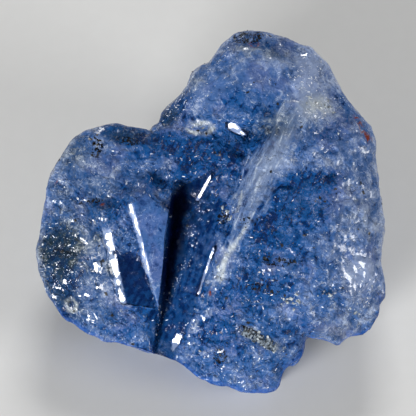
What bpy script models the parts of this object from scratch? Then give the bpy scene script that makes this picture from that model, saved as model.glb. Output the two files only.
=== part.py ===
"""Rough tanzanite crystal: one natural piece that rests on its own flat cleavage face.

Units are metres, with +Z up. The crystal's broad grooved face has a plane of its own: u runs to the
right along it, v runs up it, and w stands out of it. The face leans back, so that w rises FACE_RISE_DEG
above the horizon. Lengths on the face are written in millimetres and turned into metres at the end.
"""

import math
from dataclasses import dataclass

import bmesh
import bpy
import numpy as np
from mathutils import Vector, noise

MM = 0.001

# Stance: how far the face leans, and the height of its plane's zero point above the floor
FACE_RISE_DEG = 60.0
RIM_HEIGHT = 8.3

# Body: the depth behind the face, how full the front and back are (2 is round), and a point well inside
BACK_DEPTH = 12.5
FRONT_FULLNESS = 2.6
BACK_FULLNESS = 2.5
CORE = (0.4, -0.3, -3.5)

# Slow unevenness of the whole surface
LUMP_SIZE = 2.6
LUMP_HEIGHT = 0.22

# Mesh: cuts along a side of each of its six patches, their draw to the front, and the join distance
GRID_CUTS = 26
FRONT_SHARE = 0.22
SNAP = 0.03

# The edge of the crystal as it is seen square to the face, as (u, v), clockwise from the top
OUTLINE = (
    (2.9, 12.45), (4.1, 12.3), (5.1, 12.05), (6.2, 11.55), (6.95, 11.35), (7.6, 10.8), (8.25, 9.9),
    (8.8, 8.8), (9.4, 7.75), (10.05, 7.05), (10.65, 6.4), (11.15, 5.5), (11.4, 4.5), (11.4, 3.7),
    (11.6, 2.7), (11.75, 1.5), (11.9, 0.25), (12.05, -1.0), (11.95, -2.3), (11.85, -3.5),
    (11.9, -4.7), (12.0, -5.9), (11.7, -6.45), (11.7, -7.15), (11.35, -7.85), (10.7, -8.45),
    (9.75, -8.65), (9.35, -8.85), (8.85, -9.3), (8.25, -9.05), (7.55, -8.85), (6.7, -8.75),
    (6.45, -9.3), (6.25, -9.85), (5.75, -10.5), (5.3, -10.7), (4.95, -11.35), (4.65, -12.1),
    (4.15, -12.4), (2.7, -12.45), (1.6, -12.15), (0.8, -11.9), (-0.3, -11.6), (-0.95, -11.3),
    (-1.75, -10.65), (-2.65, -10.25), (-4.05, -9.85), (-5.4, -9.45), (-6.5, -9.1), (-7.2, -9.05),
    (-7.95, -8.6), (-8.5, -8.4), (-9.3, -7.75), (-9.9, -7.45), (-10.6, -6.7), (-11.05, -5.95),
    (-11.55, -4.65), (-11.95, -3.6), (-12.0, -2.5), (-11.7, -1.5), (-11.6, -0.25), (-11.5, 0.65),
    (-11.25, 1.85), (-10.8, 2.95), (-10.3, 3.7), (-9.85, 4.6), (-9.3, 5.2), (-8.5, 5.6),
    (-7.8, 5.75), (-7.15, 6.0), (-6.5, 6.15), (-5.85, 6.0), (-5.15, 5.8), (-4.45, 5.65),
    (-4.15, 5.55), (-3.95, 5.85), (-3.5, 6.2), (-3.35, 6.85), (-2.8, 7.4), (-2.1, 8.05),
    (-1.65, 8.7), (-1.3, 9.4), (-0.7, 9.95), (-0.15, 10.25), (0.25, 10.85), (0.8, 11.55),
    (1.75, 12.2),
)
OUTLINE_CENTRE = (0.3, -0.4)
OUTLINE_EVENED_DEG = (-14.0, -10.5, -7.0, -3.5, 0.0, 3.5, 7.0, 10.5, 14.0)


@dataclass(frozen=True)
class Facet:
    """A flat face through three corners, each given as (u, v, w)."""

    first: tuple
    second: tuple
    third: tuple

    def grade(self):
        """How fast w grows along u and along v."""
        corner = np.array(self.first)
        normal = np.cross(np.array(self.second) - corner, np.array(self.third) - corner)
        return -normal[:2] / normal[2]

    def height(self, u, v):
        along_u, along_v = self.grade()
        return self.first[2] + along_u * (u - self.first[0]) + along_v * (v - self.first[1])

    def beside(self, start, end, fall):
        """A bevel that leaves this facet along a line of it, and falls away by fall a millimetre.

        The line runs from start to end, each given as (u, v), and the bevel is on its right.
        """
        run = np.array(end) - np.array(start)
        right = np.array([run[1], -run[0]]) / np.hypot(*run)
        first = (*start, self.height(*start))
        second = (*end, self.height(*end))
        return Facet(first, second, (start[0] + right[0], start[1] + right[1], first[2] - fall))


@dataclass(frozen=True)
class Lobe:
    """A rounded swelling of the face, one millimetre lower at long and short from its crest."""

    u: float
    v: float
    crest: float
    long: float
    short: float
    turn_deg: float = 0.0

    def height(self, u, v):
        turn = math.radians(self.turn_deg)
        along = (u - self.u) * math.cos(turn) + (v - self.v) * math.sin(turn)
        across = (v - self.v) * math.cos(turn) - (u - self.u) * math.sin(turn)
        return self.crest - (along / self.long) ** 2 - (across / self.short) ** 2


@dataclass(frozen=True)
class Dip:
    """A rounded hollow of the face, half as deep at radius_u and radius_v from its middle."""

    u: float
    v: float
    radius_u: float
    radius_v: float
    depth: float

    def fall(self, u, v):
        away = ((u - self.u) / self.radius_u) ** 2 + ((v - self.v) / self.radius_v) ** 2
        return self.depth * 0.5 ** (away**1.5)


# The swellings of the face: left, left foot, plateau, top, right and lower
LOBES = (
    Lobe(-8.0, 2.0, 2.5, 4.6, 4.4, 60),
    Lobe(-7.8, -4.2, 2.0, 4.4, 4.2, 0),
    Lobe(-2.2, 3.6, 2.1, 4.2, 3.4, 15),
    Lobe(3.6, 8.6, 3.6, 4.4, 4.0, 0),
    Lobe(7.0, 0.2, 3.9, 8.0, 4.4, 80),
    Lobe(3.2, -8.2, 2.6, 5.0, 4.0, 20),
)
LOBE_BLEND = 0.9

# The hollow that the terrace stands in
TERRACE_DIP = Dip(-6.1, -4.9, 1.7, 2.3, 0.95)

# The pale ridge that crosses the face from the upper right to the lower left
RIDGE_TOP, RIDGE_FOOT = (5.9, 6.4), (-1.9, -10.0)
RIDGE_CREST = (3.9, 2.0)
RIDGE_LEFT_FALL, RIDGE_RIGHT_FALL, RIDGE_END_FALL = 1.5, 4.0, 2.0

# Facets of the face, from its left to its right
TERRACE_TOP = Facet((-7.4, -1.3, 2.3), (-5.7, -0.2, 2.45), (-4.6, -6.2, 1.2))
TERRACE_LEFT = Facet((-7.3, -1.3, 2.3), (-6.1, -6.1, 1.3), (-7.7, -1.3, 1.5))
TERRACE_FOOT = Facet((-6.1, -6.3, 1.2), (-3.7, -6.6, 1.1), (-5.0, -7.0, 0.4))
TERRACE_HEAD = Facet((-7.4, 0.2, 2.3), (-5.4, 0.7, 2.5), (-6.8, 1.6, 0.9))
WEDGE_TOP = Facet((-5.5, 0.3, 3.1), (-2.9, -0.2, 2.6), (-3.6, -6.4, 1.45))
WEDGE_LEFT = Facet((-5.5, 0.3, 3.1), (-3.65, -6.3, 1.5), (-5.85, 0.2, 2.4))
WEDGE_RIGHT = Facet((-2.9, -0.2, 2.6), (-3.55, -6.4, 1.4), (-2.6, -0.2, 0.4))
WEDGE_HEAD_LEFT = Facet((-5.6, 0.4, 3.1), (-4.4, 1.4, 3.0), (-5.7, 1.3, 2.4))
WEDGE_HEAD_RIGHT = Facet((-4.4, 1.4, 3.0), (-2.9, -0.1, 2.6), (-3.2, 0.9, 2.0))
WEDGE_BEVEL = WEDGE_TOP.beside((-5.28, 0.36), (-3.65, -6.28), 0.4)
TERRACE_BEVEL = TERRACE_TOP.beside((-6.9, -1.2), (-5.88, -6.05), 0.42)
CHANNEL_FLOOR = Facet((-2.7, -0.3, 0.1), (-3.6, -8.2, -0.6), (0.9, -2.0, 2.4))
CHANNEL_WALL = Facet((-2.8, -0.3, 0.1), (-3.7, -8.2, -0.6), (-3.1, -0.3, 2.6))
CHANNEL_HEAD = Facet((-4.1, 1.0, 0.2), (1.4, 2.8, 1.0), (-2.2, 2.3, 2.2))
SHELF_FLOOR = Facet((-3.6, 5.3, 1.7), (3.0, 5.3, 2.0), (-1.0, 2.4, 1.9))
SHELF_HEAD = Facet((-3.5, 5.9, 1.7), (3.2, 5.6, 2.0), (0.0, 6.3, 3.0))
SHELF_RIGHT = Facet((3.2, 5.6, 2.1), (1.9, 2.4, 1.9), (4.2, 5.2, 3.3))
HOLLOW_FLOOR = Facet((-11.0, 0.4, 1.2), (-7.8, 0.9, 1.5), (-8.6, -5.0, 1.3))
HOLLOW_HEAD = Facet((-11.0, 0.5, 1.3), (-7.8, 1.1, 1.6), (-9.0, 1.6, 2.5))
HOLLOW_RIGHT = Facet((-7.4, 0.6, 1.5), (-6.0, -6.0, 0.9), (-6.8, 0.6, 2.6))

# Pockets are cut down to the highest of their facets, and steps stand up to the lowest of theirs
POCKETS = (
    ((CHANNEL_FLOOR, CHANNEL_WALL, CHANNEL_HEAD), 0.2),
    ((SHELF_FLOOR, SHELF_HEAD, SHELF_RIGHT), 0.15),
    ((HOLLOW_FLOOR, HOLLOW_HEAD, HOLLOW_RIGHT), 0.2),
)
STEPS = (
    ((TERRACE_TOP, TERRACE_BEVEL, TERRACE_LEFT, TERRACE_FOOT, TERRACE_HEAD, WEDGE_RIGHT), 0.02),
    ((WEDGE_TOP, WEDGE_BEVEL, WEDGE_LEFT, WEDGE_RIGHT, WEDGE_HEAD_LEFT, WEDGE_HEAD_RIGHT), 0.02),
)

# Sharp edges where two facets meet, each scored into the mesh within a radius of a middle point
FOLDS = (
    (WEDGE_TOP, WEDGE_BEVEL, (-4.5, -3.0), 4.2),
    (WEDGE_BEVEL, WEDGE_LEFT, (-4.65, -3.0), 4.2),
    (WEDGE_TOP, WEDGE_RIGHT, (-3.2, -3.3), 4.2),
    (WEDGE_TOP, WEDGE_HEAD_LEFT, (-5.0, 0.9), 1.6),
    (WEDGE_TOP, WEDGE_HEAD_RIGHT, (-3.6, 0.6), 1.6),
    (WEDGE_LEFT, TERRACE_TOP, (-4.9, -3.0), 4.0),
    (WEDGE_RIGHT, CHANNEL_FLOOR, (-3.0, -3.3), 4.4),
    (TERRACE_TOP, TERRACE_BEVEL, (-6.4, -3.4), 4.0),
    (TERRACE_BEVEL, TERRACE_LEFT, (-6.8, -3.4), 4.0),
    (TERRACE_TOP, TERRACE_FOOT, (-4.9, -6.4), 1.8),
    (CHANNEL_HEAD, CHANNEL_FLOOR, (-1.3, 1.6), 2.6),
    (SHELF_FLOOR, SHELF_HEAD, (0.2, 5.6), 3.8),
)

# Cleavage and break faces of the sides and back, each as a direction in (u, v, w) and its distance from CORE
BREAKS = (
    ((-0.75, -0.25, -0.62), 8.6),
    ((0.70, 0.30, -0.65), 9.6),
    ((0.15, 0.80, -0.58), 10.4),
    ((-0.62, 0.55, -0.56), 8.4),
    ((0.72, -0.45, -0.52), 9.2),
    ((-0.10, 0.10, -0.99), 8.6),
)


def smooth_max(a, b, blend):
    """The higher of two heights, with the crease between them rounded over the height blend."""
    share = np.clip(0.5 + 0.5 * (a - b) / blend, 0.0, 1.0)
    return b + (a - b) * share + blend * share * (1.0 - share)


def smooth_min(a, b, blend):
    return -smooth_max(-a, -b, blend)


def combined(facets, u, v, choose, blend):
    """One height over (u, v) from several facets, the highest or the lowest as choose has it."""
    height = facets[0].height(u, v)
    for facet in facets[1:]:
        height = choose(height, facet.height(u, v), blend)
    return height


def ridge_height(u, v):
    """The pale ridge, which drops quickly on its left, towards the channel, and slowly on its right."""
    run = np.array(RIDGE_FOOT) - np.array(RIDGE_TOP)
    length = np.hypot(*run)
    along = ((u - RIDGE_TOP[0]) * run[0] + (v - RIDGE_TOP[1]) * run[1]) / length**2
    side = ((u - RIDGE_TOP[0]) * -run[1] + (v - RIDGE_TOP[1]) * run[0]) / length
    crest = RIDGE_CREST[0] + (RIDGE_CREST[1] - RIDGE_CREST[0]) * np.clip(along, 0.0, 1.0)
    fall = np.where(side < 0.0, RIDGE_LEFT_FALL, RIDGE_RIGHT_FALL)
    past_end = np.maximum(np.maximum(-along, along - 1.0), 0.0) * length
    return crest - (side / fall) ** 2 - (past_end / RIDGE_END_FALL) ** 2


def relief(u, v):
    """How far the face stands out of its plane, before it rounds off towards the edge."""
    height = combined(LOBES, u, v, smooth_max, LOBE_BLEND)
    height = smooth_max(height, ridge_height(u, v), LOBE_BLEND) - TERRACE_DIP.fall(u, v)
    for facets, blend in POCKETS:
        height = smooth_min(height, combined(facets, u, v, smooth_max, blend), blend)
    for facets, blend in STEPS:
        height = smooth_max(height, combined(facets, u, v, smooth_min, blend), blend)
    return height


def closed_curve(points, steps=12):
    """Points on the smooth closed curve (Catmull-Rom) through the given ones."""
    p = np.array(points, float)
    before, after, later = np.roll(p, 1, 0), np.roll(p, -1, 0), np.roll(p, -2, 0)
    t = np.linspace(0.0, 1.0, steps, endpoint=False)[None, :, None]
    p, before, after, later = (x[:, None, :] for x in (p, before, after, later))
    curve = 0.5 * (
        2 * p
        + (after - before) * t
        + (2 * before - 5 * p + 4 * after - later) * t**2
        + (3 * p - before - 3 * after + later) * t**3
    )
    return curve.reshape(-1, 2)


def edge_radius(angle, turns_deg=(0.0,)):
    """Distance from OUTLINE_CENTRE to the edge in each direction, averaged over small turns."""
    curve = closed_curve(OUTLINE) - np.array(OUTLINE_CENTRE)
    around, radius = np.arctan2(curve[:, 1], curve[:, 0]), np.hypot(curve[:, 0], curve[:, 1])
    order = np.argsort(around)
    reaches = [
        np.interp(angle + turn, around[order], radius[order], period=2 * math.pi)
        for turn in np.radians(turns_deg)
    ]
    return np.mean(reaches, axis=0)


def lumps(points):
    """The slow unevenness of a broken natural surface, from -1 to 1."""
    return np.array([noise.fractal(Vector(p) / LUMP_SIZE, 0.9, 2.1, 3) for p in points])


def spread(directions):
    """Lays the unit sphere over the face: (u, v) reach the outline, and the third number runs from 1 to -1.

    Small bends of the outline fade out quickly inwards, so that they leave no folds across the face.
    """
    x, y, z = directions.T
    z = z + FRONT_SHARE * (1.0 - z * z)
    out = np.sqrt(np.clip(1.0 - z * z, 0.0, 1.0))
    angle = np.arctan2(y, x)
    evened = edge_radius(angle, OUTLINE_EVENED_DEG)
    radius = (evened + (edge_radius(angle) - evened) * out**4) * out
    laid_u = OUTLINE_CENTRE[0] + radius * np.cos(angle)
    laid_v = OUTLINE_CENTRE[1] + radius * np.sin(angle)
    return np.stack([laid_u, laid_v, z], axis=1)


def raised(laid):
    """Gives each point of the laid sphere its height w, in front of the face plane or behind it."""
    u, v, z = laid.T
    out = np.sqrt(np.clip(1.0 - z * z, 0.0, 1.0))
    front = relief(u, v) * (1.0 - out**FRONT_FULLNESS) ** (1.0 / FRONT_FULLNESS)
    back = -BACK_DEPTH * (1.0 - out**BACK_FULLNESS) ** (1.0 / BACK_FULLNESS)
    points = np.stack([u, v, np.where(z > 0.0, front, back)], axis=1)
    outward = points - np.array(CORE)
    outward /= np.linalg.norm(outward, axis=1)[:, None]
    return points + outward * (LUMP_HEIGHT * lumps(points))[:, None]


def standing(points):
    """Turns (u, v, w) into the upright frame, with the floor at the height 0 and the face leaning back."""
    rise = math.radians(FACE_RISE_DEG)
    u, v, w = points.T
    back = v * math.sin(rise) - w * math.cos(rise)
    height = v * math.cos(rise) + w * math.sin(rise) + RIM_HEIGHT
    return np.stack([u, back, height], axis=1)


def ball_of_squares(cuts):
    """A sphere of six square patches with evenly spread points, because it has no poles."""
    mesh = bmesh.new()
    bmesh.ops.create_cube(mesh, size=2.0)
    bmesh.ops.subdivide_edges(mesh, edges=mesh.edges[:], cuts=cuts, use_grid_fill=True)
    for vertex in mesh.verts:
        vertex.co = Vector(math.tan(x * math.pi / 4.0) for x in vertex.co).normalized()
    return mesh


def reshape(mesh, change):
    """Moves every vertex of a bmesh to where change, which works on an array of points, puts it."""
    places = change(np.array([v.co for v in mesh.verts]))
    for vertex, place in zip(mesh.verts, places):
        vertex.co = place


def score(mesh, first, second, middle, reach):
    """Puts an edge into the front of the laid sphere along the line where two facets meet."""
    across = Vector((*(first.grade() - second.grade()), 0.0))
    gap = first.height(*middle) - second.height(*middle)
    on_line = Vector((*middle, 0.0)) - across * gap / across.length_squared
    centres = {face: face.calc_center_median() for face in mesh.faces}
    near = [f for f, c in centres.items() if c.z > 0.0 and (c.xy - Vector(middle)).length < reach]
    edges = list(dict.fromkeys(edge for face in near for edge in face.edges))
    vertices = list(dict.fromkeys(vertex for face in near for vertex in face.verts))
    bmesh.ops.bisect_plane(mesh, geom=vertices + edges + near, dist=SNAP, plane_co=on_line, plane_no=across)


def cleave(mesh, on_plane, normal):
    """Cuts off what lies beyond a plane, lays the cut's own points exactly on it, and closes the cut."""
    parts = mesh.verts[:] + mesh.edges[:] + mesh.faces[:]
    cut = bmesh.ops.bisect_plane(
        mesh, geom=parts, dist=SNAP, plane_co=on_plane, plane_no=normal, clear_outer=True
    )["geom_cut"]
    for vertex in mesh.verts:
        beyond = (vertex.co - on_plane).dot(normal)
        if beyond > -SNAP:
            vertex.co -= normal * beyond
    bmesh.ops.holes_fill(mesh, edges=[e for e in cut if isinstance(e, bmesh.types.BMEdge)], sides=0)


def cleave_sides(mesh):
    for direction, distance in BREAKS:
        normal = Vector(direction).normalized()
        cleave(mesh, Vector(CORE) + normal * distance, normal)


def centred(points):
    """Puts the origin on the floor under the middle of the box, and turns millimetres into metres."""
    middle = (points.min(0) + points.max(0)) / 2.0
    return (points - np.array([middle[0], middle[1], 0.0])) * MM


def crystal_material():
    material = bpy.data.materials.new("tanzanite")
    material.use_nodes = True
    surface = material.node_tree.nodes["Principled BSDF"]
    surface.inputs["Base Color"].default_value = (0.09, 0.16, 0.36, 1.0)
    surface.inputs["Roughness"].default_value = 0.35
    surface.inputs["Metallic"].default_value = 0.0
    surface.inputs["IOR"].default_value = 1.69
    return material


def make_crystal():
    mesh = ball_of_squares(GRID_CUTS)
    reshape(mesh, spread)
    for fold in FOLDS:
        score(mesh, *fold)
    reshape(mesh, raised)
    cleave_sides(mesh)
    reshape(mesh, standing)
    cleave(mesh, Vector((0.0, 0.0, 0.0)), Vector((0.0, 0.0, -1.0)))
    bmesh.ops.remove_doubles(mesh, verts=mesh.verts[:], dist=SNAP)
    reshape(mesh, centred)
    bmesh.ops.recalc_face_normals(mesh, faces=mesh.faces[:])
    data = bpy.data.meshes.new("crystal")
    mesh.to_mesh(data)
    mesh.free()
    data.materials.append(crystal_material())
    crystal = bpy.data.objects.new("crystal", data)
    bpy.context.scene.collection.objects.link(crystal)
    return crystal


def main():
    for obj in list(bpy.data.objects):
        bpy.data.objects.remove(obj)
    make_crystal()


main()
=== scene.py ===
import logging
import math
from dataclasses import dataclass
from enum import Enum
from typing import Iterator, Sequence

import bmesh
import bpy
import numpy as np
from mathutils import Matrix, Vector, noise
from mathutils.bvhtree import BVHTree


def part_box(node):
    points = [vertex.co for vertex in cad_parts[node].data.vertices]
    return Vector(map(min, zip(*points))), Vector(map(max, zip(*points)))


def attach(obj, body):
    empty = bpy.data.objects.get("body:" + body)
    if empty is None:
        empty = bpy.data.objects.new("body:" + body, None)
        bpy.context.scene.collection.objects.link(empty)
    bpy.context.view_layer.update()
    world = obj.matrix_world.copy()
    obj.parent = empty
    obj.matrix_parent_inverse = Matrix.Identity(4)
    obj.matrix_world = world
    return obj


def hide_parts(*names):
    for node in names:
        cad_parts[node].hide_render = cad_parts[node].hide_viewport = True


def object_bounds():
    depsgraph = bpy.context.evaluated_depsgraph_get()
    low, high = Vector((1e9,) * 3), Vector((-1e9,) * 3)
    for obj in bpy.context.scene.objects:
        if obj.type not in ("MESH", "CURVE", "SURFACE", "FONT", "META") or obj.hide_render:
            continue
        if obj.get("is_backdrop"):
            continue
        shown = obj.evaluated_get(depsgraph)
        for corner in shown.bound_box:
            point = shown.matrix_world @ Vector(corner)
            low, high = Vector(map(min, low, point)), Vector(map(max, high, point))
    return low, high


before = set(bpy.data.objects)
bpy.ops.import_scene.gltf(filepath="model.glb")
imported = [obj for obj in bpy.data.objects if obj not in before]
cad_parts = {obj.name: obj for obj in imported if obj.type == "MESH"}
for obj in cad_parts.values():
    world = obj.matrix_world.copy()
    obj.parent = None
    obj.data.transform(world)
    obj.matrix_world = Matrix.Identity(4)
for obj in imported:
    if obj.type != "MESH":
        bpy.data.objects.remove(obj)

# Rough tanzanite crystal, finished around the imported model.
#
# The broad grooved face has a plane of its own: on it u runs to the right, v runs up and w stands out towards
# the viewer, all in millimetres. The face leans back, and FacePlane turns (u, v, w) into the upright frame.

LOG = logging.getLogger("tanzanite")
MM = 0.001
NODE = "crystal"
BODY = "root"
WANDER_SIZE, WANDER_REACH = 1.1, 0.28
ON_GLINT = (0.37, 0.33)
NOWHERE = (0.0, 0.0, 0.0)
ABOVE_FACE = 9.0

Colour = tuple[float, float, float]
Point2 = tuple[float, float]
Point3 = tuple[float, float, float]
Field = np.ndarray
Settings = dict[str | int, object]


# Maths


def smooth_step(low: float, high: float, value: Field) -> Field:
    """Rises softly from 0 at low to 1 at high."""
    t = np.clip((value - low) / (high - low), 0.0, 1.0)
    return t * t * (3.0 - 2.0 * t)


def smooth_join(a: Field, b: Field, blend: float, side: float = 1.0) -> Field:
    """The higher of two heights, or with side -1 the lower, their crease rounded over the height blend."""
    share = np.clip(0.5 + 0.5 * side * (a - b) / blend, 0.0, 1.0)
    return b + (a - b) * share + side * blend * share * (1.0 - share)


def mixed(low: Field, high: Field | float, share: Field) -> Field:
    """Goes from low to high as the share goes from 0 to 1."""
    return low * (1.0 - share) + high * share


def moved(points: Field, matrix: Matrix) -> Field:
    """Turns and shifts points by a matrix."""
    turned = np.array(matrix)
    return points @ turned[:3, :3].T + turned[:3, 3]


def noisy(points: Field, size: float, shift: Sequence[float] = NOWHERE, *fractal: float) -> Field:
    """Noise at each point, around nothing.

    Args:
        points: The points.
        size: The size of the noise's waves.
        shift: Where in the noise the points lie.
        fractal: For noise with finer noise on it, its dimension, its step in size and its octaves.

    Returns:
        One value for each point.
    """
    places = [Vector(point) / size + Vector(shift) for point in points]
    return np.array([noise.fractal(place, *fractal) if fractal else noise.noise(place) for place in places])


def wandered(u: Field, v: Field) -> tuple[Field, Field, Field]:
    """Shifts places on the face a little, so that a line drawn through them wanders and breaks.

    Args:
        u: The places to the right.
        v: The places up.

    Returns:
        The shifted places, and a strength from 0 to 1.4 that comes and goes.
    """
    flat = np.stack([u, v, 0.0 * u], axis=1)
    far_u, far_v = (noisy(flat, WANDER_SIZE, (0.0, 0.0, shift)) for shift in (5.3, 9.1))
    strength = np.clip(0.7 + 1.8 * noisy(flat, WANDER_SIZE / 1.3, (0.0, 0.0, 2.7)), 0.0, 1.4)
    return u + WANDER_REACH * far_u, v + WANDER_REACH * far_v, strength


# The shape of the face


@dataclass(frozen=True)
class Facet:
    """A flat face through three corners, each given as (u, v, w)."""

    first: Point3
    second: Point3
    third: Point3

    def grade(self) -> Field:
        """How fast w grows along u and along v."""
        first, second, third = np.array([self.first, self.second, self.third])
        normal = np.cross(second - first, third - first)
        return -normal[:2] / normal[2]

    def height(self, u: Field, v: Field) -> Field:
        """The plane's w over each (u, v)."""
        along_u, along_v = self.grade()
        return self.first[2] + along_u * (u - self.first[0]) + along_v * (v - self.first[1])

    def beside(self, start: Point2, end: Point2, fall: float) -> "Facet":
        """A bevel that leaves this facet along a line.

        Args:
            start: One end of the line.
            end: The other end, with the bevel on the right of the way there.
            fall: How far the bevel falls in a millimetre.

        Returns:
            The bevel.
        """
        first, second = ((*point, float(self.height(*point))) for point in (start, end))
        run_u, run_v = np.subtract(end, start) / math.dist(start, end)
        return Facet(first, second, (start[0] + run_v, start[1] - run_u, first[2] - fall))


@dataclass(frozen=True)
class Patch:
    """An ellipse on the face: a lobe of its surface, or the place of a finish or an inclusion."""

    u: float
    v: float
    long: float
    short: float
    strength: float = 1.0
    turn_deg: float = 0.0

    def square_out(self, u: Field, v: Field) -> Field:
        """The square of the distance from the middle, which is one at the rim.

        Args:
            u: The places to the right.
            v: The places up.

        Returns:
            One number for each place.
        """
        turn = math.radians(self.turn_deg)
        from_u, from_v = u - self.u, v - self.v
        along = (from_u * math.cos(turn) + from_v * math.sin(turn)) / self.long
        across = (from_v * math.cos(turn) - from_u * math.sin(turn)) / self.short
        return along**2 + across**2

    def share(self, u: Field, v: Field) -> Field:
        """Its strength in the middle, half of it at the rim, and nothing well outside."""
        return self.strength * np.exp(-math.log(2.0) * self.square_out(u, v) ** 1.5)

    def height(self, u: Field, v: Field) -> Field:
        """A rounded lobe as high as its strength, which falls by one millimetre at the rim."""
        return self.strength - self.square_out(u, v)


def patches(*rows: tuple[float, ...]) -> tuple[Patch, ...]:
    """One patch for each row of u, v, long, short, and where they are given strength and turn_deg."""
    return tuple(Patch(*row) for row in rows)


@dataclass(frozen=True)
class Stroke:
    """A line drawn over the face through a few points, which lifts the surface and its tone."""

    points: tuple[Point2, ...]
    width: float
    rise: float = 0.0
    tone: float = 0.0

    def share(self, u: Field, v: Field) -> Field:
        """One on the line, falling to nothing over its width.

        Args:
            u: The places to the right.
            v: The places up.

        Returns:
            One number for each place.
        """
        nearest = np.full_like(u, 99.0)
        for (u0, v0), (u1, v1) in zip(self.points, self.points[1:]):
            run_u, run_v = u1 - u0, v1 - v0
            along = np.clip(((u - u0) * run_u + (v - v0) * run_v) / (run_u**2 + run_v**2), 0.0, 1.0)
            nearest = np.minimum(nearest, np.hypot(u - u0 - along * run_u, v - v0 - along * run_v))
        return np.exp(-((nearest / self.width) ** 2))


@dataclass(frozen=True)
class Chip:
    """A small flat break with straight sides, turned so that it catches the light."""

    corners: tuple[Point2, ...]
    grade: Point2 = ON_GLINT

    def sides(self) -> Iterator[tuple[Point2, Point2]]:
        """The two ends of each side."""
        return zip(self.corners, self.corners[1:] + self.corners[:1])

    def share(self, u: Field, v: Field, soft: float = 0.04) -> Field:
        """One inside the corners, which run round either way, and nothing outside.

        Args:
            u: The places to the right.
            v: The places up.
            soft: How wide its rim fades, in millimetres.

        Returns:
            One number for each place.
        """
        inside = np.ones_like(u)
        for start, end in self.sides():
            run_u, run_v = np.subtract(end, start) / math.dist(start, end)
            out_u, out_v = np.subtract(start, np.mean(self.corners, axis=0))
            outside = (u - start[0]) * run_v - (v - start[1]) * run_u
            outside *= np.sign(run_v * out_u - run_u * out_v)
            inside = np.minimum(inside, smooth_step(soft, 0.0, outside))
        return inside


class Cut(Enum):
    """How a group of facets is joined: to the highest of them, or to the lowest."""

    POCKET = 1.0
    STEP = -1.0


@dataclass(frozen=True)
class FacetGroup:
    """Facets that cut one pocket or build one step, with the first as its floor or top."""

    cut: Cut
    blend: float
    facets: tuple[Facet, ...]

    def surface(self, u: Field, v: Field) -> Field:
        """The group's own height, before it meets the face."""
        height = self.facets[0].height(u, v)
        for facet in self.facets[1:]:
            height = smooth_join(height, facet.height(u, v), self.blend, self.cut.value)
        return height

    def applied(self, height: Field, u: Field, v: Field) -> Field:
        """The face's height after this pocket or step."""
        return smooth_join(height, self.surface(u, v), self.blend, -self.cut.value)


TERRACE_TOP = Facet((-7.4, -1.3, 2.3), (-5.7, -0.2, 2.45), (-4.6, -6.2, 1.2))
TERRACE_LEFT = Facet((-7.3, -1.3, 2.3), (-6.1, -6.1, 1.3), (-7.7, -1.3, 1.5))
TERRACE_FOOT = Facet((-6.1, -6.3, 1.2), (-3.7, -6.6, 1.1), (-5.0, -7.0, 0.4))
TERRACE_HEAD = Facet((-7.4, 0.2, 2.3), (-5.4, 0.7, 2.5), (-6.8, 1.6, 0.9))
WEDGE_TOP = Facet((-5.5, 0.3, 3.1), (-2.9, -0.2, 2.6), (-3.6, -6.4, 1.45))
WEDGE_LEFT = Facet((-5.5, 0.3, 3.1), (-3.65, -6.3, 1.5), (-5.85, 0.2, 2.4))
WEDGE_RIGHT = Facet((-2.9, -0.2, 2.6), (-3.55, -6.4, 1.4), (-2.6, -0.2, 0.4))
WEDGE_HEAD_LEFT = Facet((-5.6, 0.4, 3.1), (-4.4, 1.4, 3.0), (-5.7, 1.3, 2.4))
WEDGE_HEAD_RIGHT = Facet((-4.4, 1.4, 3.0), (-2.9, -0.1, 2.6), (-3.2, 0.9, 2.0))
WEDGE_BEVEL = WEDGE_TOP.beside((-5.28, 0.36), (-3.65, -6.28), 0.4)
TERRACE_BEVEL = TERRACE_TOP.beside((-6.9, -1.2), (-5.88, -6.05), 0.42)
CHANNEL_FLOOR = Facet((-2.7, -0.3, 0.1), (-3.6, -8.2, -0.6), (0.9, -2.0, 2.4))
CHANNEL_WALL = Facet((-2.8, -0.3, 0.1), (-3.7, -8.2, -0.6), (-3.1, -0.3, 2.6))
CHANNEL_HEAD = Facet((-4.1, 1.0, 0.2), (1.4, 2.8, 1.0), (-2.2, 2.3, 2.2))
SHELF_FLOOR = Facet((-3.6, 5.3, 1.7), (3.0, 5.3, 2.0), (-1.0, 2.4, 1.9))
SHELF_HEAD = Facet((-3.5, 5.9, 1.7), (3.2, 5.6, 2.0), (0.0, 6.3, 3.0))
SHELF_RIGHT = Facet((3.2, 5.6, 2.1), (1.9, 2.4, 1.9), (4.2, 5.2, 3.3))
HOLLOW_FLOOR = Facet((-11.0, 0.4, 1.2), (-7.8, 0.9, 1.5), (-8.6, -5.0, 1.3))
HOLLOW_HEAD = Facet((-11.0, 0.5, 1.3), (-7.8, 1.1, 1.6), (-9.0, 1.6, 2.5))
HOLLOW_RIGHT = Facet((-7.4, 0.6, 1.5), (-6.0, -6.0, 0.9), (-6.8, 0.6, 2.6))


@dataclass(frozen=True)
class FacePlane:
    """The plane of the grooved face, and where it stands in the upright frame."""

    rise_deg: float = 60.0
    rim_height: float = 8.3

    def matrix(self) -> Matrix:
        """Turns (u, v, w) into upright millimetres, with the floor at the height 0."""
        lean = Matrix.Rotation(math.radians(90.0 - self.rise_deg), 4, "X")
        return Matrix.Translation((0.0, 0.0, self.rim_height)) @ lean


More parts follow.
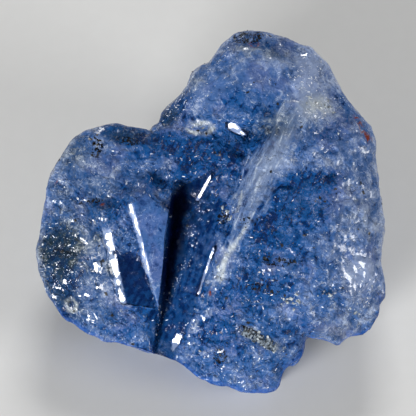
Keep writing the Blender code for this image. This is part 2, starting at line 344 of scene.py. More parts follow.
@dataclass(frozen=True)
class FacePlace:
    """Where the face plane lies in the finished frame."""

    plane: FacePlane
    middle: Point3

    def mapped(self, sheet: "ShaderSheet") -> "Signal":
        """Object coordinates turned into the face's (u, v, w) in millimetres.

        Args:
            sheet: The material that needs the coordinates.

        Returns:
            The coordinates.
        """
        lean = math.radians(self.plane.rise_deg - 90.0)
        shift = Vector(self.middle) - Vector((0.0, 0.0, self.plane.rim_height))
        return sheet.node("Mapping", {}, {
            "Vector": sheet.node("TexCoord", {}, {}, "Object"),
            "Scale": (1.0 / MM, 1.0 / MM, 1.0 / MM),
            "Rotation": (lean, 0.0, 0.0),
            "Location": tuple(Matrix.Rotation(lean, 3, "X") @ shift),
        })

    def placed(self, points: Field | Sequence[float]) -> Field:
        """Turns the face's (u, v, w) into the frame's metres."""
        return (moved(points, self.plane.matrix()) - np.array(self.middle)) * MM


@dataclass(frozen=True)
class CrystalForm:
    """The crystal's surface: outline, relief and breaks, in millimetres.

    The outline, lobes and facets repeat the solid's, so that the finished surface lies where the solid is.
    """

    plane: FacePlane = FacePlane()
    back_depth: float = 12.5
    front_fullness: float = 2.6
    back_fullness: float = 2.5
    core: Point3 = (0.4, -0.3, -3.5)
    lump_size: float = 2.6
    lump_height: float = 0.22
    grid_cuts: int = 119
    front_share: float = 0.22
    snap: float = 0.01
    outline_centre: Point2 = (0.3, -0.4)
    outline_turns_deg: tuple[float, ...] = (-14.0, -10.5, -7.0, -3.5, 0.0, 3.5, 7.0, 10.5, 14.0)
    outline: tuple[Point2, ...] = (
        (2.9, 12.45), (4.1, 12.3), (5.1, 12.05), (6.2, 11.55), (6.95, 11.35), (7.6, 10.8), (8.25, 9.9),
        (8.8, 8.8), (9.4, 7.75), (10.05, 7.05), (10.65, 6.4), (11.15, 5.5), (11.4, 4.5), (11.4, 3.7),
        (11.6, 2.7), (11.75, 1.5), (11.9, 0.25), (12.05, -1.0), (11.95, -2.3), (11.85, -3.5), (11.9, -4.7),
        (12.0, -5.9), (11.7, -6.45), (11.7, -7.15), (11.35, -7.85), (10.7, -8.45), (9.75, -8.65),
        (9.35, -8.85), (8.85, -9.3), (8.25, -9.05), (7.55, -8.85), (6.7, -8.75), (6.45, -9.3), (6.25, -9.85),
        (5.75, -10.5), (5.3, -10.7), (4.95, -11.35), (4.65, -12.1), (4.15, -12.4), (2.7, -12.45),
        (1.6, -12.15), (0.8, -11.9), (-0.3, -11.6), (-0.95, -11.3), (-1.75, -10.65), (-2.65, -10.25),
        (-4.05, -9.85), (-5.4, -9.45), (-6.5, -9.1), (-7.2, -9.05), (-7.95, -8.6), (-8.5, -8.4),
        (-9.3, -7.75), (-9.9, -7.45), (-10.6, -6.7), (-11.05, -5.95), (-11.55, -4.65), (-11.95, -3.6),
        (-12.0, -2.5), (-11.7, -1.5), (-11.6, -0.25), (-11.5, 0.65), (-11.25, 1.85), (-10.8, 2.95),
        (-10.3, 3.7), (-9.85, 4.6), (-9.3, 5.2), (-8.5, 5.6), (-7.8, 5.75), (-7.15, 6.0), (-6.5, 6.15),
        (-5.85, 6.0), (-5.15, 5.8), (-4.45, 5.65), (-4.15, 5.55), (-3.95, 5.85), (-3.5, 6.2), (-3.35, 6.85),
        (-2.8, 7.4), (-2.1, 8.05), (-1.65, 8.7), (-1.3, 9.4), (-0.7, 9.95), (-0.15, 10.25), (0.25, 10.85),
        (0.8, 11.55), (1.75, 12.2),
    )
    lobes: tuple[Patch, ...] = patches(
        (-8.0, 2.0, 4.6, 4.4, 2.5, 60), (-7.8, -4.2, 4.4, 4.2, 2.0), (-2.2, 3.6, 4.2, 3.4, 2.1, 15),
        (3.6, 8.6, 4.4, 4.0, 3.6), (7.0, 0.2, 8.0, 4.4, 3.9, 80), (3.2, -8.2, 5.0, 4.0, 2.6, 20),
    )
    lobe_blend: float = 0.9
    dip: Patch = Patch(-6.1, -4.9, 1.7, 2.3, 0.95)
    ridge_top: Point2 = (5.9, 6.4)
    ridge_foot: Point2 = (-1.9, -10.0)
    ridge_crest: Point2 = (3.9, 2.0)
    ridge_falls: Point3 = (1.5, 4.0, 2.0)
    channel: FacetGroup = FacetGroup(Cut.POCKET, 0.2, (CHANNEL_FLOOR, CHANNEL_WALL, CHANNEL_HEAD))
    shelf: FacetGroup = FacetGroup(Cut.POCKET, 0.15, (SHELF_FLOOR, SHELF_HEAD, SHELF_RIGHT))
    hollow: FacetGroup = FacetGroup(Cut.POCKET, 0.2, (HOLLOW_FLOOR, HOLLOW_HEAD, HOLLOW_RIGHT))
    terrace: FacetGroup = FacetGroup(
        Cut.STEP, 0.02, (TERRACE_TOP, TERRACE_BEVEL, TERRACE_LEFT, TERRACE_FOOT, TERRACE_HEAD, WEDGE_RIGHT)
    )
    wedge: FacetGroup = FacetGroup(
        Cut.STEP, 0.02, (WEDGE_TOP, WEDGE_BEVEL, WEDGE_LEFT, WEDGE_RIGHT, WEDGE_HEAD_LEFT, WEDGE_HEAD_RIGHT)
    )
    folds: tuple[tuple[Facet, Facet, Point2, float], ...] = (
        (WEDGE_TOP, WEDGE_BEVEL, (-4.5, -3.0), 4.2),
        (WEDGE_BEVEL, WEDGE_LEFT, (-4.65, -3.0), 4.2),
        (WEDGE_TOP, WEDGE_RIGHT, (-3.2, -3.3), 4.2),
        (WEDGE_TOP, WEDGE_HEAD_LEFT, (-5.0, 0.9), 1.6),
        (WEDGE_TOP, WEDGE_HEAD_RIGHT, (-3.6, 0.6), 1.6),
        (WEDGE_LEFT, TERRACE_TOP, (-4.9, -3.0), 4.0),
        (WEDGE_RIGHT, CHANNEL_FLOOR, (-3.0, -3.3), 4.4),
        (TERRACE_TOP, TERRACE_BEVEL, (-6.4, -3.4), 4.0),
        (TERRACE_BEVEL, TERRACE_LEFT, (-6.8, -3.4), 4.0),
        (TERRACE_TOP, TERRACE_FOOT, (-4.9, -6.4), 1.8),
        (CHANNEL_HEAD, CHANNEL_FLOOR, (-1.3, 1.6), 2.6),
        (SHELF_FLOOR, SHELF_HEAD, (0.2, 5.6), 3.8),
    )
    # The three grooves that sink the surface are darkened along their creases, which is painted shade.
    strokes: tuple[Stroke, ...] = (
        Stroke(((-10.7, 0.5), (-10.2, 0.7), (-9.55, 0.8), (-8.7, 0.6), (-8.0, 0.6)), 0.22, -0.22, -0.5),
        Stroke(((3.1, 1.3), (4.1, 1.6), (5.5, 1.8), (6.9, 2.2), (8.2, 2.5)), 0.35, -0.3, -0.3),
        Stroke(((-11.0, -2.9), (-10.2, -2.8), (-9.3, -2.9)), 0.25, -0.25, -0.7),
        Stroke(((-5.0, 4.6), (-4.7, 5.1), (-4.2, 5.55)), 0.14, 0.12, 0.4),
        Stroke(((2.8, -0.9), (1.9, -2.3), (1.0, -4.2)), 0.2, 0.12, 0.35),
        Stroke(((1.0, -3.0), (0.3, -4.0), (-0.3, -5.6)), 0.14, 0.12, 0.35),
        Stroke(((-9.0, -3.2), (-8.4, -3.9), (-8.0, -4.5), (-7.5, -5.3)), 0.12, 0.12, 0.12),
        Stroke(((-9.2, -4.4), (-8.7, -5.0), (-8.3, -5.3), (-7.6, -6.1)), 0.12, 0.12, 0.12),
    )
    chips: tuple[Chip, ...] = (
        Chip(((1.0, 6.05), (1.7, 6.05), (2.5, 5.2), (1.7, 5.35), (1.25, 5.6))),
        Chip(((-2.3, -8.4), (-1.95, -8.5), (-2.15, -9.1), (-2.65, -9.7), (-2.65, -8.9))),
        Chip(((0.0, 2.5), (0.08, 2.4), (-0.85, 0.7), (-1.05, 0.75))),
        Chip(((0.17, -2.45), (0.27, -2.6), (-0.83, -5.7), (-0.95, -5.75))),
        Chip(((-8.05, -3.5), (-7.55, -3.45), (-7.5, -4.2), (-7.9, -4.1)), (0.35, 0.30)),
        Chip(((-0.68, -7.1), (-0.36, -7.25), (-0.45, -7.6))),
    )
    breaks: tuple[tuple[Point3, float], ...] = (
        ((-0.75, -0.25, -0.62), 8.6), ((0.70, 0.30, -0.65), 9.6), ((0.15, 0.80, -0.58), 10.4),
        ((-0.62, 0.55, -0.56), 8.4), ((0.72, -0.45, -0.52), 9.2), ((-0.10, 0.10, -0.99), 8.6),
    )

    def ridge(self, u: Field, v: Field) -> Field:
        """The pale ridge, which drops quickly on its left, towards the channel, and slowly on its right.

        Args:
            u: The places to the right.
            v: The places up.

        Returns:
            The ridge's w.
        """
        run = np.subtract(self.ridge_foot, self.ridge_top)
        length = np.hypot(*run)
        from_u, from_v = u - self.ridge_top[0], v - self.ridge_top[1]
        along = (from_u * run[0] + from_v * run[1]) / length**2
        side = (from_u * -run[1] + from_v * run[0]) / length
        crest = self.ridge_crest[0] + (self.ridge_crest[1] - self.ridge_crest[0]) * np.clip(along, 0.0, 1.0)
        left, right, end = self.ridge_falls
        past_end = np.maximum(np.maximum(-along, along - 1.0), 0.0) * length
        return crest - (side / np.where(side < 0.0, left, right)) ** 2 - (past_end / end) ** 2

    def relief(self, u: Field, v: Field) -> Field:
        """How far the face stands out of its plane, before it rounds off towards the edge.

        Args:
            u: The places to the right.
            v: The places up.

        Returns:
            The face's w.
        """
        height = self.lobes[0].height(u, v)
        for lobe in self.lobes[1:]:
            height = smooth_join(height, lobe.height(u, v), self.lobe_blend)
        height = smooth_join(height, self.ridge(u, v), self.lobe_blend) - self.dip.share(u, v)
        for group in (self.channel, self.shelf, self.hollow, self.terrace, self.wedge):
            height = group.applied(height, u, v)
        return height

    def carved(self, u: Field, v: Field) -> Field:
        """The relief with its strokes and chips.

        Args:
            u: The places to the right.
            v: The places up.

        Returns:
            The face's w.
        """
        height = self.relief(u, v)
        far_u, far_v, strength = wandered(u, v)
        for stroke in self.strokes:
            height = height + stroke.rise * strength * stroke.share(far_u, far_v)
        for chip in self.chips:
            at_u, at_v = np.mean(chip.corners, axis=0)
            plane = self.relief(at_u, at_v) + chip.grade[0] * (u - at_u) + chip.grade[1] * (v - at_v)
            height = height + (plane - height) * chip.share(u, v)
        return height

    def edge_radius(self, angle: Field, turns_deg: Sequence[float] = (0.0,)) -> Field:
        """Distance from outline_centre to the edge.

        Args:
            angle: Directions in the face plane, in radians.
            turns_deg: The turns from them to average over, in degrees.

        Returns:
            The distances in millimetres.
        """
        curve = self.closed_curve() - np.array(self.outline_centre)
        around, radius = np.arctan2(curve[:, 1], curve[:, 0]), np.hypot(curve[:, 0], curve[:, 1])
        order = np.argsort(around)
        turned = [angle + turn for turn in np.radians(turns_deg)]
        return np.mean([np.interp(a, around[order], radius[order], period=math.tau) for a in turned], axis=0)

    def inward(self, u: Field, v: Field) -> Field:
        """How far inside the outline each place lies."""
        from_u, from_v = u - self.outline_centre[0], v - self.outline_centre[1]
        return self.edge_radius(np.arctan2(from_v, from_u)) - np.hypot(from_u, from_v)

    def closed_curve(self, steps: int = 12) -> Field:
        """Points on the smooth closed curve (Catmull-Rom) through the outline's points.

        Args:
            steps: How many points it has for each of the outline's.

        Returns:
            The points as (u, v).
        """
        p, before, after, later = (np.roll(self.outline, turn, 0)[:, None, :] for turn in (0, 1, -1, -2))
        t = np.linspace(0.0, 1.0, steps, endpoint=False)[None, :, None]
        curve = 0.5 * (
            2 * p
            + (after - before) * t
            + (2 * before - 5 * p + 4 * after - later) * t**2
            + (3 * p - before - 3 * after + later) * t**3
        )
        return curve.reshape(-1, 2)

    def spread(self, directions: Field) -> Field:
        """Lays the unit sphere over the face plane, its third number running from 1 in front to -1 behind.

        Args:
            directions: Points on the unit sphere.

        Returns:
            The points as (u, v, third number).
        """
        x, y, z = directions.T
        z = z + self.front_share * (1.0 - z * z)
        out = np.sqrt(np.clip(1.0 - z * z, 0.0, 1.0))
        angle = np.arctan2(y, x)
        evened = self.edge_radius(angle, self.outline_turns_deg)
        radius = (evened + (self.edge_radius(angle) - evened) * out**4) * out
        centre_u, centre_v = self.outline_centre
        return np.stack([centre_u + radius * np.cos(angle), centre_v + radius * np.sin(angle), z], axis=1)

    def raised(self, laid: Field) -> Field:
        """Gives each point of the laid sphere its height w, in front of the face plane or behind it.

        Args:
            laid: The points of the laid sphere.

        Returns:
            The points as (u, v, w).
        """
        u, v, z = laid.T
        out = np.sqrt(np.clip(1.0 - z * z, 0.0, 1.0))
        front = self.carved(u, v) * (1.0 - out**self.front_fullness) ** (1.0 / self.front_fullness)
        back = -self.back_depth * (1.0 - out**self.back_fullness) ** (1.0 / self.back_fullness)
        points = np.stack([u, v, np.where(z > 0.0, front, back)], axis=1)
        outward = points - np.array(self.core)
        outward /= np.linalg.norm(outward, axis=1)[:, None]
        lumps = noisy(points, self.lump_size, NOWHERE, 0.9, 2.1, 3)
        return points + outward * (self.lump_height * lumps)[:, None]

    def creases(self) -> Iterator[tuple[Vector, Vector, Point2, float]]:
        """The face's straight edges, each with a point on it, the way across, its middle and its reach.

        Returns:
            A point on each edge's line, the way across it, its middle and its reach.
        """
        for first, second, middle, reach in self.folds:
            across = Vector((*(first.grade() - second.grade()), 0.0))
            gap = first.height(*middle) - second.height(*middle)
            yield Vector((*middle, 0.0)) - across * gap / across.length_squared, across, middle, reach
        for chip in self.chips:
            for side in chip.sides():
                start, end = (Vector((*corner, 0.0)) for corner in side)
                across = Vector((end.y - start.y, start.x - end.x, 0.0))
                yield start, across, (start.xy + end.xy) / 2.0, (end - start).length / 2.0 + 0.05

    def score(self, mesh: bmesh.types.BMesh) -> None:
        """Puts the creases into the front of the laid sphere as edges.

        Args:
            mesh: The laid sphere.
        """
        for on_line, across, middle, reach in self.creases():
            centres = {face: face.calc_center_median() for face in mesh.faces}
            near = [f for f, c in centres.items() if c.z > 0.0 and (c.xy - Vector(middle)).length < reach]
            vertices, edges = (
                list(dict.fromkeys(part for face in near for part in getattr(face, kind)))
                for kind in ("verts", "edges")
            )
            bmesh.ops.bisect_plane(
                mesh, geom=vertices + edges + near, dist=self.snap, plane_co=on_line, plane_no=across
            )

    def flatten(self, mesh: bmesh.types.BMesh, on_plane: Vector, normal: Vector, core: Vector) -> None:
        """Cuts an edge along a plane, and draws what lies beyond it straight back towards the core.

        Args:
            mesh: The crystal.
            on_plane: A point on the plane.
            normal: The plane's unit normal, pointing away from the crystal.
            core: A point well inside the crystal.
        """
        geometry = mesh.verts[:] + mesh.edges[:] + mesh.faces[:]
        bmesh.ops.bisect_plane(mesh, geom=geometry, dist=self.snap, plane_co=on_plane, plane_no=normal)
        rays = read_points(mesh) - np.array(core)
        reach = rays @ np.array(normal)
        distance = (on_plane - core).dot(normal)
        rays *= np.where(reach > distance - self.snap, distance / np.maximum(reach, 1e-9), 1.0)[:, None]
        write_points(mesh.verts, np.array(core) + rays)

    def body(self) -> bmesh.types.BMesh:
        """The whole smooth crystal with its facets and breaks, upright, in millimetres.

        Returns:
            The crystal, before its fine relief.
        """
        mesh = bmesh.new()
        write_points(mesh.verts, self.spread(add_ball(mesh, self.grid_cuts)[1]))
        self.score(mesh)
        write_points(mesh.verts, self.raised(read_points(mesh)))
        core = Vector(self.core)
        for direction, distance in self.breaks:
            normal = Vector(direction).normalized()
            self.flatten(mesh, core + normal * distance, normal, core)
        write_points(mesh.verts, moved(read_points(mesh), self.plane.matrix()))
        self.flatten(mesh, Vector((0.0, 0.0, 0.0)), Vector((0.0, 0.0, -1.0)), self.plane.matrix() @ core)
        return mesh


@dataclass(frozen=True)
class FineRelief:
    """Lumps, scallops, flakes and cleavage steps, from a tenth of a millimetre to a few."""

    lump_size: float = 1.4
    lump_height: float = 0.10
    scallop_size: float = 1.5
    scallop_depth: float = 0.17
    scallop_shift: Point3 = (3.1, 7.7, 1.9)
    scallop_spread: float = 0.35
    flake_kinds: tuple[Point2, ...] = ((1.2, 0.17), (0.6, 0.15))
    flake_rim: float = 0.22
    rim_share: float = 0.4
    step_size: float = 3.4
    step_levels: float = 7.0
    step_height: float = 0.05
    riser: Point2 = (0.88, 1.0)
    quieted: float = 0.97
    cleared: float = 0.75

    def scallops(self, points: Field) -> Field:
        """Shallow hollows that meet in sharp ridges, deep in some places and absent in others.

        Args:
            points: Upright millimetres.

        Returns:
            The heights in millimetres.
        """
        places = [Vector(point) / self.scallop_size + Vector(self.scallop_shift) for point in points]
        nearest = np.array([noise.voronoi(place)[0][0] for place in places])
        share = np.array([noise.noise(place * self.scallop_spread) for place in places])
        return self.scallop_depth * (nearest**2 - 0.3) * np.clip(share * 1.6 + 0.45, 0.0, 1.0)

    def flakes(self, points: Field, size: float, slope: float) -> Field:
        """Flat facets, one to each cell of the given size, that lean every way and meet at one level.

        Args:
            points: Upright millimetres.
            size: The cells' size.
            slope: How steeply the facets lean.

        Returns:
            The heights in millimetres.
        """
        heights = []
        for point in points:
            place = Vector(point) / size
            distances, sites = noise.voronoi(place)
            lean = noise.cell_vector(sites[0] * 9.7) - Vector((0.5, 0.5, 0.5))
            rim = min((distances[1] - distances[0]) / self.flake_rim, 1.0)
            heights.append(lean.dot(place - sites[0]) * rim)
        return 2.0 * slope * size * np.array(heights)

    def steps(self, points: Field) -> Field:
        """Level terraces with steep risers, as a cleavage leaves."""
        levels = noisy(points, self.step_size) * self.step_levels
        whole = np.floor(levels)
        return self.step_height * (whole + smooth_step(*self.riser, levels - whole) - levels * 0.6)

    def height(self, points: Field, facing: Field, quiet: Field, cleaved: Field) -> Field:
        """How far each point of the surface is moved outwards.

        Args:
            points: Upright millimetres.
            facing: How squarely each point faces the same way as the broad face, from -1 to 1.
            quiet: One where the face is flat and smooth.
            cleaved: One on a cleavage face.

        Returns:
            The heights in millimetres.
        """
        lumps = self.lump_height * noisy(points, self.lump_size, NOWHERE, 0.8, 2.2, 4)
        rough = lumps + self.scallops(points) + sum(self.flakes(points, *kind) for kind in self.flake_kinds)
        rough *= self.rim_share + (1.0 - self.rim_share) * smooth_step(0.1, 0.7, np.abs(facing))
        rough *= (1.0 - self.quieted * quiet) * (1.0 - self.cleared * cleaved)
        return rough + self.steps(points) * cleaved


# Meshes and nodes


def read_points(mesh: bmesh.types.BMesh) -> Field:
    """The places of a bmesh's vertices."""
    return np.array([vertex.co for vertex in mesh.verts])


def write_points(vertices: Sequence[bmesh.types.BMVert], points: Field) -> None:
    """Moves vertices."""
    for vertex, place in zip(vertices, points):
        vertex.co = place


def add_ball(mesh: bmesh.types.BMesh, cuts: int) -> tuple[list[bmesh.types.BMVert], Field]:
    """Adds a unit ball of six square patches with evenly spread points, because it has no poles.

    Args:
        mesh: The mesh that takes it.
        cuts: How often each side of a patch is cut.

    Returns:
        Its vertices, and where on the unit ball they belong.
    """
    old_points, old_edges = len(mesh.verts), len(mesh.edges)
    bmesh.ops.create_cube(mesh, size=2.0)
    mesh.edges.ensure_lookup_table()
    bmesh.ops.subdivide_edges(mesh, edges=mesh.edges[old_edges:], cuts=cuts, use_grid_fill=True)
    mesh.verts.ensure_lookup_table()
    added = mesh.verts[old_points:]
    return added, np.array([Vector(math.tan(x * math.pi / 4.0) for x in v.co).normalized() for v in added])


def new_object(name: str, data: bpy.types.ID) -> bpy.types.Object:
    """Puts a mesh, a light or a camera into the scene."""
    made = bpy.data.objects.new(name, data)
    bpy.context.scene.collection.objects.link(made)
    return made


def new_piece(name: str, mesh: bmesh.types.BMesh, material: bpy.types.Material) -> bpy.types.Object:
    """Turns a bmesh into a piece that rides on the crystal's body.

    Args:
        name: The piece's name.
        mesh: Its shape in the frame, which is used up.
        material: Its material.

    Returns:
        The piece.
    """
    data = bpy.data.meshes.new(name)
    mesh.to_mesh(data)
    mesh.free()
    data.materials.append(material)
    piece = new_object(name, data)
    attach(piece, BODY)
    return piece


def add_node(tree: bpy.types.NodeTree, kind: str, settings: Settings, inputs: Settings) -> bpy.types.Node:
    """Adds a node to a tree.

    Args:
        tree: The tree.
        kind: The node's type.
        settings: The node's own properties, which are set before its sockets.
        inputs: Values, sockets or Signals for the input sockets, by name or number.

    Returns:
        The node.
    """
    made = tree.nodes.new(kind)
    for key, value in settings.items():
        setattr(made, key, value)
    for key, value in inputs.items():
        value = value.socket if isinstance(value, Signal) else value
        if isinstance(value, bpy.types.NodeSocket):
            tree.links.new(value, made.inputs[key])
        else:
            made.inputs[key].default_value = value
    return made


class Signal:
    """A value that varies over a surface, wrapped so that Python's operators add its nodes."""

    def __init__(self, sheet: "ShaderSheet", socket: bpy.types.NodeSocket) -> None:
        """Wraps one output socket of a sheet's node."""
        self.sheet = sheet
        self.socket = socket

    def math(self, operation: str, *others: "Signal | float") -> "Signal":
        """A Math node with this value first."""
        return self.sheet.node("Math", {"operation": operation}, dict(enumerate((self, *others))))

    def __add__(self, other: "Signal | float") -> "Signal":
        """Adds."""
        return self.math("ADD", other)

    __radd__ = __add__

    def __mul__(self, other: "Signal | float") -> "Signal":
        """Multiplies."""
        return self.math("MULTIPLY", other)

    __rmul__ = __mul__

    def __sub__(self, other: "Signal | float") -> "Signal":
        """Subtracts."""
        return self.math("SUBTRACT", other)

    def __rsub__(self, other: float) -> "Signal":
        """Subtracts this from a number."""
        return self.sheet.node("Math", {"operation": "SUBTRACT"}, {0: other, 1: self})

    def higher(self, other: "Signal | float") -> "Signal":
        """The higher of two values."""
        return self.math("MAXIMUM", other)

    def kept(self) -> "Signal":
        """This value kept between 0 and 1."""
        return self.sheet.node("Clamp", {}, {"Value": self})

    def vector_math(self, operation: str, other: "Signal | Point3", out: str = "Vector") -> "Signal":
        """A Vector Math node with this value first."""
        return self.sheet.node("VectorMath", {"operation": operation}, {0: self, 1: other}, out)

    def line(self, per_unit: float) -> "Signal":
        """One where the value is a half, and nothing past one over per_unit to either side."""
        return (1.0 - ((self - 0.5) * per_unit).math("ABSOLUTE")).kept()

    def between(self, low: float, high: float) -> "Signal":
        """Rises softly from 0 at low to 1 at high."""
        limits = {"Value": self, "From Min": low, "From Max": high}
        return self.sheet.node("MapRange", {"interpolation_type": "SMOOTHSTEP"}, limits)


class ShaderSheet:
    """One material's node tree, with a method for any node."""

    def __init__(self, name: str) -> None:
        """Starts an empty material."""
        self.material = bpy.data.materials.new(name)
        self.material.use_nodes = True
        self.tree = self.material.node_tree
        self.tree.nodes.clear()

    def node(self, kind: str, settings: Settings, inputs: Settings, out: str | int = 0) -> Signal:
        """Adds one node.

        Args:
            kind: The node's type without its ShaderNode prefix.
            settings: The node's own properties, which are set before its sockets.
            inputs: Values or Signals for the input sockets, by name or number.
            out: The output to return.

        Returns:
            The chosen output.
        """
        return Signal(self, add_node(self.tree, "ShaderNode" + kind, settings, inputs).outputs[out])

    def attribute(self, name: str) -> Signal:
        """A number kept on the mesh's vertices."""
        return self.node("Attribute", {"attribute_type": "GEOMETRY", "attribute_name": name}, {}, "Fac")

    def blended(self, mask: Signal | float, low: Signal | Colour, high: Signal | Colour) -> Signal:
        """A colour that goes from low to high as the mask goes from 0 to 1."""
        low, high = ((*c, 1.0) if isinstance(c, tuple) else c for c in (low, high))
        return self.node("Mix", {"data_type": "RGBA"}, {0: mask, 6: low, 7: high}, 2)

    def noise(self, where: Signal, per_mm: float, *look: float) -> Signal:
        """Noise in millimetre coordinates, around 0.5, of a given detail, roughness and distortion."""
        names = "Vector", "Scale", "Detail", "Roughness", "Distortion"
        return self.node("TexNoise", {}, dict(zip(names, (where, per_mm, *look))))

    def facets(
        self, where: Signal, per_mm: float, lean: float, shared: Signal | Point3 = (0.0, 0.0, 0.0)
    ) -> Signal:
        """The height of small flat breaks that each lean their own way.

        Args:
            where: Millimetre coordinates.
            per_mm: How many breaks there are in a millimetre.
            lean: How steeply they lean.
            shared: The slope that they have in common.

        Returns:
            The height in millimetres.
        """
        cell = add_node(self.tree, "ShaderNodeTexVoronoi", {}, {"Vector": where, "Scale": per_mm})
        slope = Signal(self, cell.outputs["Color"]).vector_math("SUBTRACT", (0.5, 0.5, 0.5))
        slope = slope.vector_math("MULTIPLY", (lean * 2.0,) * 3).vector_math("ADD", shared)
        away = where.vector_math("SUBTRACT", Signal(self, cell.outputs["Position"]))
        return away.vector_math("DOT_PRODUCT", slope, "Value")

    def principled(self, **inputs: Signal | float | Colour) -> Signal:
        """A Principled BSDF, its inputs named with underscores for spaces, its fixed colour without alpha."""
        spaced = {name.replace("_", " "): value for name, value in inputs.items()}
        if isinstance(spaced["Base Color"], tuple):
            spaced["Base Color"] = (*spaced["Base Color"], 1.0)
        return self.node("BsdfPrincipled", {}, spaced)

    def finish(self, **outputs: Signal) -> bpy.types.Material:
        """Adds the output, and returns the material."""
        add_node(self.tree, "ShaderNodeOutputMaterial", {}, outputs)
        return self.material


# Finishes


@dataclass(frozen=True)
class TanzaniteFinish:
    """Blue crystal: clear where it is freshly broken, milky where it is etched."""

    clear_tint: Colour = (0.72, 0.86, 1.0)
    # Painted shade: the near-black blue laid on the crevice, the fold and the walls.
    painted_shade_blue: Colour = (0.0008, 0.006, 0.044)
    deep: Colour = (0.0008, 0.018, 0.095)
    vivid: Colour = (0.007, 0.072, 0.250)
    middle: Colour = (0.050, 0.114, 0.290)
    violet: Colour = (0.082, 0.118, 0.290)
    pale: Colour = (0.230, 0.310, 0.520)
    vein: Colour = (0.210, 0.270, 0.400)
    # White serves the vein's pale fibres and the painted glint dots and lines.
    white: Colour = (0.600, 0.680, 0.800)
    grey_dark: Colour = (0.014, 0.028, 0.038)
    grey_light: Colour = (0.220, 0.250, 0.260)
    black: Colour = (0.006, 0.006, 0.007)
    cream: Colour = (0.53, 0.58, 0.61)
    rust: Colour = (0.17, 0.030, 0.018)
    # Painted glow: the bright blue of light shining through the thin lower rim.
    painted_glow: Colour = (0.010, 0.080, 0.420)
    ior: float = 1.69
    skin_specular: float = 0.05
    clear_roughness: float = 0.05
    coat_roughness: float = 0.04
    absorbed: Colour = (0.05, 0.55, 0.92)
    absorption: float = 1000.0
    vein_turn_deg: float = -26.0

    def build(self, place: FacePlace) -> bpy.types.Material:
        """Makes the material, with its patterns in the face's millimetres.

        Args:
            place: Where the face lies.

        Returns:
            The material.
        """
        sheet = ShaderSheet("tanzanite")
        face = place.mapped(sheet)
        # Two of these attributes paint light: one holds painted shade, and edge a painted glow along the
        # lower rim.
        names = "clear polish tone vein grey rust wavy graphite calm gloom edge cleaved chalk"
        clear, polish, tone, vein, grey, rust, wavy, soot, calm, gloom, edge, cleaved, chalk = (
            sheet.attribute(name) for name in names.split()
        )
        etched = 1.0 - polish

        blotch = sheet.noise(face, 0.7, 4.0, 0.58, 0.6)
        wisp = sheet.noise(face, 1.2, 3.0, 0.55, 1.6)
        crumb = sheet.noise(face, 2.4, 4.0, 0.62, 0.7)
        curl = sheet.noise(face, 2.7, 2.0, 0.55, 1.2)
        grain = sheet.noise(face, 8.0, 2.0, 0.6)
        along = sheet.node("Mapping", {"vector_type": "TEXTURE"}, {
            "Vector": face, "Rotation": (0.0, 0.0, math.radians(self.vein_turn_deg)), "Scale": (1.0, 7.0, 1.0)
        })
        streak = sheet.noise(along, 3.0, 4.0, 0.62, 0.4)

        # Painted glints: thin pale lines, partly the skin's own wisps, and curls and dots that stand in for
        # sparkle.
        wisps_and_glint_lines = curl.line(24.0) * wisp.between(0.50, 0.60)
        painted_curl_glints = sheet.noise(face, 4.2, 2.0, 0.55, 1.4).line(14.0) * crumb.between(0.50, 0.60) * etched
        cells = sheet.node("TexVoronoi", {}, {"Vector": face, "Scale": 3.3})
        painted_sparkle_dots = cells.between(0.18, 0.10) * crumb.between(0.54, 0.60) * etched * (1.0 - calm)
        texture = (blotch - 0.5) * 1.6 + (crumb - 0.5) * 1.3 + (grain - 0.5) * 0.5 + wisp.line(9.0) * 0.14
        texture = texture * (1.0 - calm * 0.4) + wisps_and_glint_lines * 0.40
        mottle = (crumb - 0.5) * 1.1 + (streak - 0.5) * 1.5
        shade = tone + texture * (0.45 + etched * 0.55) + mottle * clear * 0.5 - cleaved * 0.10
        fibres = (vein * 1.25 + (streak - 0.5) * 2.2 - 0.45 + (blotch - 0.5)).kept() * vein.between(0.0, 0.5)
        depth = mottle * (1.3 + clear * 0.6) + blotch - clear * 0.12 - polish * 0.18
        depth = depth + (shade - 0.25) * etched * 0.4
        tinge = sheet.noise(face, 0.42, 2.0).between(0.48, 0.64) * 0.6
        # Painted glints, with some of the pale wisps, mixed in as white below.
        painted_glints_and_wisps = painted_sparkle_dots + (wisps_and_glint_lines * 0.6 + painted_curl_glints * blotch.between(0.46, 0.58) * 0.7) * shade.between(0.3, 0.9)
        dust = sheet.noise(face, 4.4, 3.0, 0.7, 0.5)
        soot_share = (soot * 0.035).math("MINIMUM", 0.2)
        sooty = (dust + soot_share + (grain - 0.5) * 0.35).between(0.70, 0.74)

        milk = sheet.blended(depth.between(0.0, 0.5), self.deep, self.vivid)
        for mask, colour in (
            (shade.between(0.12, 0.58), sheet.blended(tinge, self.middle, self.violet)),
            (shade.between(0.50, 1.2), self.pale),
            (fibres * 0.85, sheet.blended(streak.between(0.54, 0.74), self.vein, self.white)),
            ((grey * (0.7 + texture)).kept(),
             sheet.blended(shade.between(0.35, 0.95), self.grey_dark, self.grey_light)),
            (painted_glints_and_wisps.kept() * 0.7, self.white),
            ((chalk * (0.75 + texture * 1.6)).kept() * 0.85, self.cream),
            ((rust * 1.2 * crumb.between(0.46, 0.56)).kept(), self.rust),
            # Painted glow on the lower rim, and painted shade in the crevice, fold and walls.
            (edge, self.painted_glow),
            (gloom, self.painted_shade_blue),
            (sooty, self.black),
        ):
            milk = sheet.blended(mask, milk, colour)

